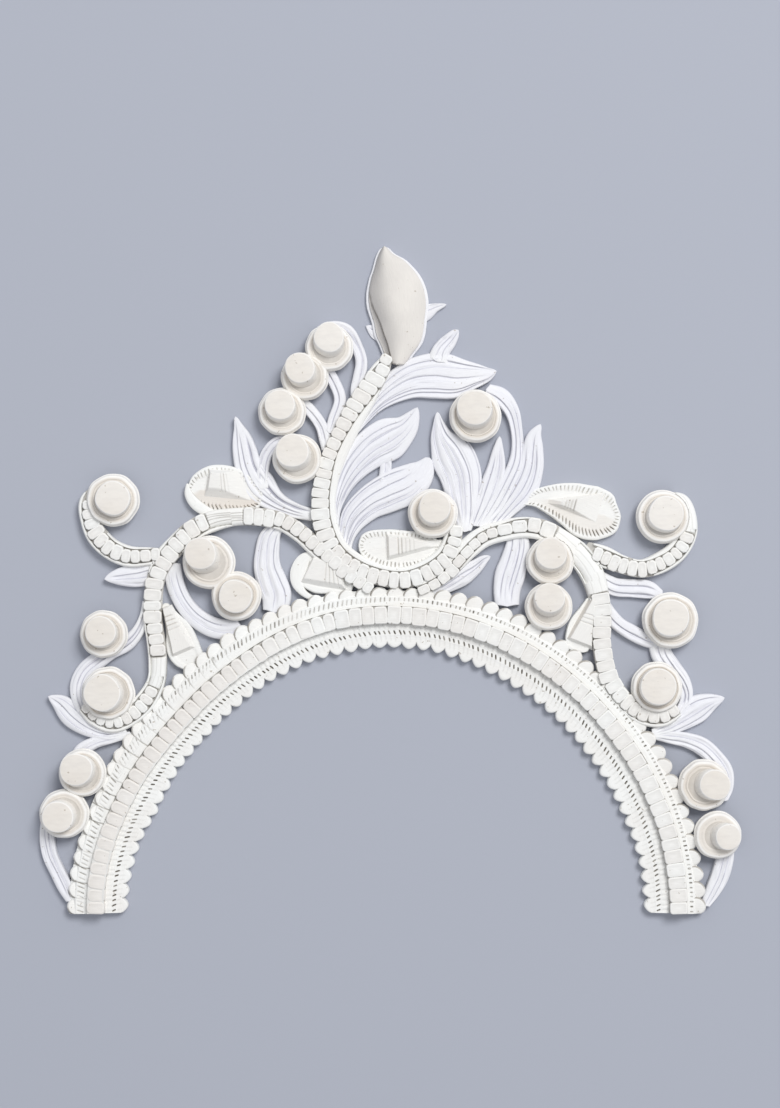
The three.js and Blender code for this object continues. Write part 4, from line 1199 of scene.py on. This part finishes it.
# For each wedge, in millimetres: its four corners seen from above, going round it, with the
# long way first. Then for the side from the first corner and each next one: how far in it
# slopes, and how much of the second colour it shows as painted shade. Then the heights of its
# flat top over the corners as shares of the full height, and its saw cuts as (share of the long
# way, depth).
WEDGES = {
    "shell_upper_left": (
        [(-61.4, 26.9), (-44.4, 25.4), (-49.2, 35.9), (-59.5, 36.4)], (3.3, 8.5, 1.6, 1.0),
        (0.3, 0.15, 0.15, 0.3), (0.74, 0.72, 0.8, 0.84),
        [(0.36, 0.25), (0.44, 0.35), (0.52, 0.25)]),
    "shell_upper_right": (
        [(51.2, 25.1), (69.0, 17.9), (71.6, 28.8), (51.8, 26.3)], (1.3, 9.5, 1.6, 5.2),
        (0.3, 0.2, 0.2, 0.5), (0.7, 0.6, 0.72, 0.86),
        [(0.33, 0.5), (0.38, 0.45), (0.43, 0.5), (0.49, 0.7)]),
    "shell_curl": (
        [(-0.9, 6.0), (17.6, 10.8), (17.6, 12.9), (-1.3, 15.2)], (1.5, 6.0, 1.2, 0.6),
        (0.15, 0.1, 0.1, 0.35), (0.68, 0.55, 0.55, 0.74),
        [(0.2, 0.5), (0.26, 0.5), (0.33, 0.3), (0.4, 0.3), (0.47, 0.25)]),
    "shell_lower_left": (
        [(-29.9, -1.6), (-13.5, -4.2), (-16.5, 5.6), (-25.2, 7.8)], (2.2, 1.5, 0.8, 0.5),
        (0.12, 0.1, 0.1, 0.25), (0.66, 0.64, 0.72, 0.78),
        [(0.5, 0.25), (0.6, 0.3), (0.7, 0.3), (0.8, 0.25)]),
    "shell_side_left": (
        [(-75.2, -9.4), (-71.6, -25.9), (-63.6, -22.4), (-71.9, -8.3)], (0.6, 1.2, 1.6, 0.5),
        (0.3, 0.2, 0.1, 0.15), (0.84, 0.66, 0.62, 0.82),
        [(0.2, 0.4), (0.29, 0.45), (0.38, 0.45), (0.47, 0.3)]),
    "shell_side_right": (
        [(65.4, -6.2), (57.6, -19.8), (66.6, -23.4), (67.6, -6.4)], (1.2, 1.2, 0.5, 0.5),
        (0.6, 0.15, 0.1, 0.1), (0.84, 0.64, 0.64, 0.84),
        [(0.34, 0.3), (0.43, 0.3), (0.52, 0.3)]),
}

# The shells with a ring of pleats, and how much their lower side shows the second colour.
PLEATED = {"shell_upper_left": 0.6, "shell_upper_right": 0.35, "shell_curl": 0.08}

# Smooth white crescents that stand beside some shells, as [x, y, half width].
CRESCENTS = {
    "shell_upper_left": [(-66.8, 31.5, 0.4), (-66.3, 28.0, 1.4), (-63.8, 24.6, 1.9),
                         (-60.0, 22.3, 1.6), (-57.5, 22.2, 0.6)],
    "shell_lower_left": [(-25.4, 8.6, 0.7), (-28.3, 6.4, 2.2), (-30.0, 2.6, 2.8),
                         (-30.4, -1.0, 2.2), (-29.0, -4.0, 1.3), (-26.0, -6.0, 0.9),
                         (-22.0, -6.6, 0.6)],
}


class OBJECT_OT_crown_shells(bpy.types.Operator):
    """Carve the six shells with their wedges, three of them with pleats"""

    bl_idname = "object.crown_shells"
    bl_label = "Shells"

    def execute(self, context):
        carving = context.scene.crown_carving
        for seed, (node, rows) in enumerate(SHELLS.items()):
            rng = random.Random(700 + seed)
            bm = new_shape()
            self.base(bm, rows, carving.pleat_depth / MM if node in PLEATED else 0,
                      PLEATED.get(node, 0), rng)
            self.wedge(bm, *WEDGES[node])
            if node in CRESCENTS:
                self.crescent(bm, CRESCENTS[node])
            finish_piece(bm, node, pith_material("shell pith"))
        return {"FINISHED"}

    def base(self, bm, rows, pleat_depth, fringe, rng):
        """A low dome with a smooth white lip and a ring of short pleats inside it."""
        line = Line(rows, step=0.25)
        line.taper(start=1.0, end=1.5)
        x, y, *_ = line.spread(np.array([1, -1]))
        left, right = np.stack([x, y], axis=-1).swapaxes(0, 1)
        loop = np.vstack([left, right[::-1], left[:1]])
        # The dome rises to the middle part of the line.
        places = (0.5 + (line.along / line.length - 0.5) * 0.7) * line.length
        ridge = points_at(places, line.along, np.stack([line.x, line.y], axis=1))
        ridge = np.vstack([ridge, ridge[::-1], ridge[:1]])
        along = distances(loop)
        pleat_width, samples_per_pleat = 1.45, 8
        pleats = round(along[-1] / pleat_width)
        at = np.linspace(0, along[-1], pleats * samples_per_pleat + 1)
        outline, middle = points_at(at, along, loop), points_at(at, along, ridge)
        depth = np.array([0, 0.03, 0.07, 0.12, 0.17, 0.22, 0.28, 0.34, 0.4, 0.5, 0.65, 0.8, 0.93])
        x, y = (between(outline[:, k:k + 1], middle[:, k:k + 1], depth) for k in range(2))
        lower = smooth(1.0, 4.5, middle[:, 1:] - outline[:, 1:])
        ring = (depth - 0.25) / 0.15
        phase = np.linspace(0, pleats - 0.001, len(at))[:, None]
        cut = tick_row(phase, ring, -0.9 * fringe * lower, rng) * (np.abs(ring) < 1)
        z = 0.9 * LEAF_TOP - 0.5 * (1 - smooth(0, 0.06, depth)) - 0.25 * smooth(0.3, 0.42, depth)
        z = under_buttons(x, y, z - pleat_depth * cut)
        # Painted shade in the pleats, stronger on the lower side of the shell.
        groove = np.minimum(min(pleat_depth, 0.45) * cut * (1 + 5 * fringe * lower), 1.5)
        shade = (0.08 + fringe * lower) * smooth(0.1, 0.3, depth)
        made = bent_grid(bm, (x, y, x, y), z, groove, shade)
        bmesh.ops.remove_doubles(bm, verts=made, dist=MERGE)
        opening = min(boundary_loops(bm), key=lambda loop: sum(e.calc_length() for e in loop))
        bmesh.ops.contextual_create(bm, geom=opening)
        drop_back(bm, list(bm.faces), 0)

    def wedge(self, bm, corners, slopes, side_shades, heights, cuts):
        """A block with a flat top, sloping sides and a few saw cuts across it."""
        first, second, third, fourth = (np.array(corner) for corner in corners)
        onward = np.linspace(0, 1, 81)[:, None]
        over = np.linspace(0, 1, 41)
        right, left = between(first, second, onward), between(fourth, third, onward)
        x, y = (between(right[:, k:k + 1], left[:, k:k + 1], over) for k in range(2))
        length = np.linalg.norm((second + third - first - fourth) / 2)
        width = np.linalg.norm(left - right, axis=1)[:, None]
        rims = (over * width, (1 - onward) * length, (1 - over) * width, onward * length)
        flat, groove = np.ones(x.shape), np.zeros(x.shape)
        shade = np.full(x.shape, WEDGE_TINT)
        # Painted shade: each sloping side shows its share of the second colour, and the steeper
        # ones get a dark line along their foot.
        for rim, slope, side_shade in zip(rims, slopes, side_shades):
            inward = np.clip(rim / slope, 0, 1) + 0 * x
            near = 1 - smooth(0.8, 1.0, inward)
            shade = np.where(inward < flat, between(WEDGE_TINT, side_shade, near), shade)
            if slope < 3:
                groove = np.maximum(groove, 0.45 * (inward < 0.06))
            flat = np.minimum(flat, inward)
        tops = between(heights[0], heights[3], over), between(heights[1], heights[2], over)
        foot = (0.9 * LEAF_TOP - 0.5) / WEDGE_TOP
        z = WEDGE_TOP * between(foot, between(*tops, onward), flat) - 0.05
        # The saw cuts are also painted dark as shade.
        for where, deep in cuts:
            cut = bump((onward - where) * length, 0.3) * smooth(0.55, 0.9, flat)
            z = z - 0.9 * deep * cut
            groove = np.maximum(groove, deep * cut)
        grid = (x + SHIFT.x, y + SHIFT.y, onward * length, over * width)
        thick_sheet(bm, grid, z, groove, shade, WEDGE_FLOOR)

    def crescent(self, bm, rows):
        """A smooth strip with painted shade along its left edge."""
        line = Line(rows, step=0.3)
        line.taper(start=0.5, end=0.5)
        across = shares(0.85, 13, 0.94, 1)
        z = LEAF_TOP - 0.05 - 0.5 * np.abs(across) ** 4
        thick_sheet(bm, line.spread(across), z, 0.9 * smooth(0.8, 1.0, across))


def boundary_loops(bm):
    """The open edges, as one list for each loop."""
    left = dict.fromkeys(edge for edge in bm.edges if len(edge.link_faces) == 1)
    loops = []
    while left:
        loop, todo = [], [left.popitem()[0]]
        while todo:
            edge = todo.pop()
            loop.append(edge)
            for near in edges_of(edge.verts):
                if near in left:
                    del left[near]
                    todo.append(near)
        loops.append(loop)
    return loops


# ---- Finishes --------------------------------------------------------------------------------

# Each finish: main colour, second colour, how strong its patches are, colour of the painted
# shade in its grooves and how strong it is, and the roughness.
FINISHES = {
    "white pith": ("white", "pale", 0.25, "leaf_groove_shade", 0.8, 0.8),
    "carved pith": ("pale", "pale_shade", 0.35, "crevice_shade", 0.9, 0.85),
    "shell pith": ("pale", "tan", 0.12, "crevice_shade", 0.85, 0.85),
    "button pith": ("rim", "cream_shade", 0.25, "crevice_shade", 0.75, 0.85),
    "bud pith": ("cream", "grey_shade", 0.2, "crevice_shade", 0.9, 0.8),
}
STREAK_GREY = (0.45, 0.42, 0.43, 1)
SPECK_BROWN = (0.36, 0.30, 0.22, 1)

# How many blotches of each kind there are to a metre, or to a millimetre of the grain.
PATCHES, SHADE_BLOTCHES, SPECKS, PORES, STREAKS = 60, 220, 800, 1400, 1.0


def pith_material(name):
    """Pith with long grain, soft patches, painted shade in its grooves and a few specks."""
    if name in bpy.data.materials:
        return bpy.data.materials[name]
    finish = bpy.context.scene.crown_finish
    main, second, patches, crevice_shade, dark, roughness = FINISHES[name]
    material = bpy.data.materials.new(name)
    material.use_nodes = True
    nodes, links = material.node_tree.nodes, material.node_tree.links
    shader = nodes["Principled BSDF"]
    shader.inputs["Roughness"].default_value = roughness
    shader.inputs["Specular IOR Level"].default_value = 0.25
    place = nodes.new("ShaderNodeTexCoord").outputs["Object"]

    def carved(layer):
        node = nodes.new("ShaderNodeAttribute")
        node.attribute_name = layer
        return node

    def noise(vector, scale, detail=3.0, stretch=None):
        if stretch:
            mapping = nodes.new("ShaderNodeMapping")
            mapping.inputs["Scale"].default_value = stretch
            links.new(vector, mapping.inputs["Vector"])
            vector = mapping.outputs["Vector"]
        texture = nodes.new("ShaderNodeTexNoise")
        texture.inputs["Scale"].default_value = scale
        texture.inputs["Detail"].default_value = detail
        links.new(vector, texture.inputs["Vector"])
        return texture.outputs["Fac"]

    def spread(value, low_end, high_end, to_low=0.0, to_high=1.0):
        node = nodes.new("ShaderNodeMapRange")
        for socket, number in zip(node.inputs[1:5], (low_end, high_end, to_low, to_high)):
            socket.default_value = number
        links.new(value, node.inputs["Value"])
        return node.outputs["Result"]

    def combine(operation, first, second):
        node = nodes.new("ShaderNodeMath")
        node.operation = operation
        node.use_clamp = True
        links.new(first, node.inputs[0])
        links.new(second, node.inputs[1])
        return node.outputs["Value"]

    def mix(share, first, second):
        node = nodes.new("ShaderNodeMix")
        node.data_type = "RGBA"
        factor, a, b = node.inputs[0], node.inputs[6], node.inputs[7]
        for socket, value in ((factor, share), (a, first), (b, second)):
            if isinstance(value, bpy.types.NodeSocket):
                links.new(value, socket)
            else:
                socket.default_value = value
        return node.outputs[2]

    def opaque(colour):
        return (*getattr(finish, colour), 1)

    patch = spread(noise(place, PATCHES), 0.42, 0.66, 0, patches)
    share = combine("ADD", carved("shade").outputs["Fac"], patch)
    colour = mix(share, opaque(main), opaque(second))
    along_grain = (0.35, 3.2, 1.0)
    streaks = noise(carved("grain").outputs["Vector"], STREAKS, 4, along_grain)
    streaks = spread(streaks, 0.35, 0.7)
    colour = mix(streaks, colour, mix(0.11, colour, STREAK_GREY))
    specks = spread(noise(place, SPECKS, 1), 0.73, 0.78, 0, 0.55)
    colour = mix(specks, colour, SPECK_BROWN)
    # Painted shade: the groove value, broken up in blotches, mixes in the dark colour where shade
    # falls.
    patchy = spread(noise(place, SHADE_BLOTCHES, 2), 0.3, 0.7, 0.6 * dark, dark)
    painted_shade = combine("MULTIPLY", carved("groove").outputs["Fac"], patchy)
    colour = mix(painted_shade, colour, opaque(crevice_shade))
    links.new(colour, shader.inputs["Base Color"])
    relief = nodes.new("ShaderNodeBump")
    relief.inputs["Strength"].default_value = finish.grain
    relief.inputs["Distance"].default_value = 0.12 * MM
    links.new(mix(0.5, noise(place, PORES), streaks), relief.inputs["Height"])
    links.new(relief.outputs["Normal"], shader.inputs["Normal"])
    return material


# ---- Stage -----------------------------------------------------------------------------------


class OBJECT_OT_crown_stage(bpy.types.Operator):
    """Lay the floor, set up the soft lights and the camera straight above"""

    bl_idname = "object.crown_stage"
    bl_label = "Floor, lights and camera"

    def execute(self, context):
        stage = context.scene.crown_stage
        self.floor(context, stage.floor)
        self.key_light(context, stage.key)
        self.world(context, stage.sky)
        self.camera(context)
        context.scene.view_settings.view_transform = "Standard"
        return {"FINISHED"}

    def floor(self, context, colour):
        below = 0.2 * MM  # the floor lies this far under the crown
        bm = bmesh.new()
        bmesh.ops.create_grid(bm, x_segments=1, y_segments=1, size=3)
        bmesh.ops.translate(bm, vec=(0, 0, -below), verts=bm.verts)
        mesh = bpy.data.meshes.new("floor")
        bm.to_mesh(mesh)
        bm.free()
        material = bpy.data.materials.new("floor")
        material.use_nodes = True
        shader = material.node_tree.nodes["Principled BSDF"]
        shader.inputs["Base Color"].default_value = (*colour, 1)
        shader.inputs["Roughness"].default_value = 0.9
        mesh.materials.append(material)
        floor = bpy.data.objects.new("floor", mesh)
        context.scene.collection.objects.link(floor)

    def key_light(self, context, power):
        """A wide round lamp high over the crest's right side."""
        light = bpy.data.lights.new("key", "AREA")
        light.shape = "DISK"
        light.size = 0.9
        light.energy = power
        lamp = bpy.data.objects.new("key", light)
        lamp.location = 2.2 * Vector((0.30, 0.43, 0.85))
        lamp.rotation_euler = (-lamp.location).to_track_quat("-Z", "Y").to_euler()
        context.scene.collection.objects.link(lamp)

    def world(self, context, strength):
        world = bpy.data.worlds.new("studio")
        world.use_nodes = True
        background = world.node_tree.nodes["Background"]
        background.inputs["Color"].default_value = (0.93, 0.95, 1.0, 1)
        background.inputs["Strength"].default_value = strength
        context.scene.world = world

    def camera(self, context):
        """Straight above, so that the crown fills a tall view as it is worn."""
        seen = 365.6 * MM  # how much of the floor the view takes in, from top to bottom
        up_by = 8.1 * MM  # how far towards the crest its middle lies from the crown's
        camera = bpy.data.cameras.new("camera")
        camera.sensor_width = 36
        camera.lens = 85
        camera.clip_start, camera.clip_end = 0.01, 20
        eye = bpy.data.objects.new("camera", camera)
        middle = (CAD_BOX[0] + CAD_BOX[1]) / 2
        eye.location = (middle.x, middle.y + up_by, seen * camera.lens / camera.sensor_width)
        context.scene.collection.objects.link(eye)
        context.scene.camera = eye


class VIEW3D_PT_crown(bpy.types.Panel):
    """The steps that make the crown"""

    bl_label = "Shola crown"
    bl_space_type = "VIEW_3D"
    bl_region_type = "UI"
    bl_category = "Crown"

    def draw(self, context):
        for name in SETTINGS:
            group = getattr(context.scene, name)
            box = self.layout.box()
            for setting in group.__annotations__:
                box.prop(group, setting)
        for step in STEPS:
            self.layout.operator(step.bl_idname)


STEPS = (
    OBJECT_OT_crown_stage, OBJECT_OT_crown_leaves, OBJECT_OT_crown_stems, OBJECT_OT_crown_shells,
    OBJECT_OT_crown_band, OBJECT_OT_crown_bud, OBJECT_OT_crown_buttons)
SETTINGS = {"crown_carving": CrownCarving, "crown_finish": CrownFinish, "crown_stage": CrownStage}


def register():
    for cls in (*SETTINGS.values(), *STEPS, VIEW3D_PT_crown):
        bpy.utils.register_class(cls)
    for name, cls in SETTINGS.items():
        setattr(bpy.types.Scene, name, bpy.props.PointerProperty(type=cls))


def unregister():
    for name in SETTINGS:
        delattr(bpy.types.Scene, name)
    for cls in reversed((*SETTINGS.values(), *STEPS, VIEW3D_PT_crown)):
        bpy.utils.unregister_class(cls)


def main():
    register()
    for step in STEPS:
        group, name = step.bl_idname.split(".")
        getattr(getattr(bpy.ops, group), name)()
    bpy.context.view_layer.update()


if __name__ == "__main__":
    main()
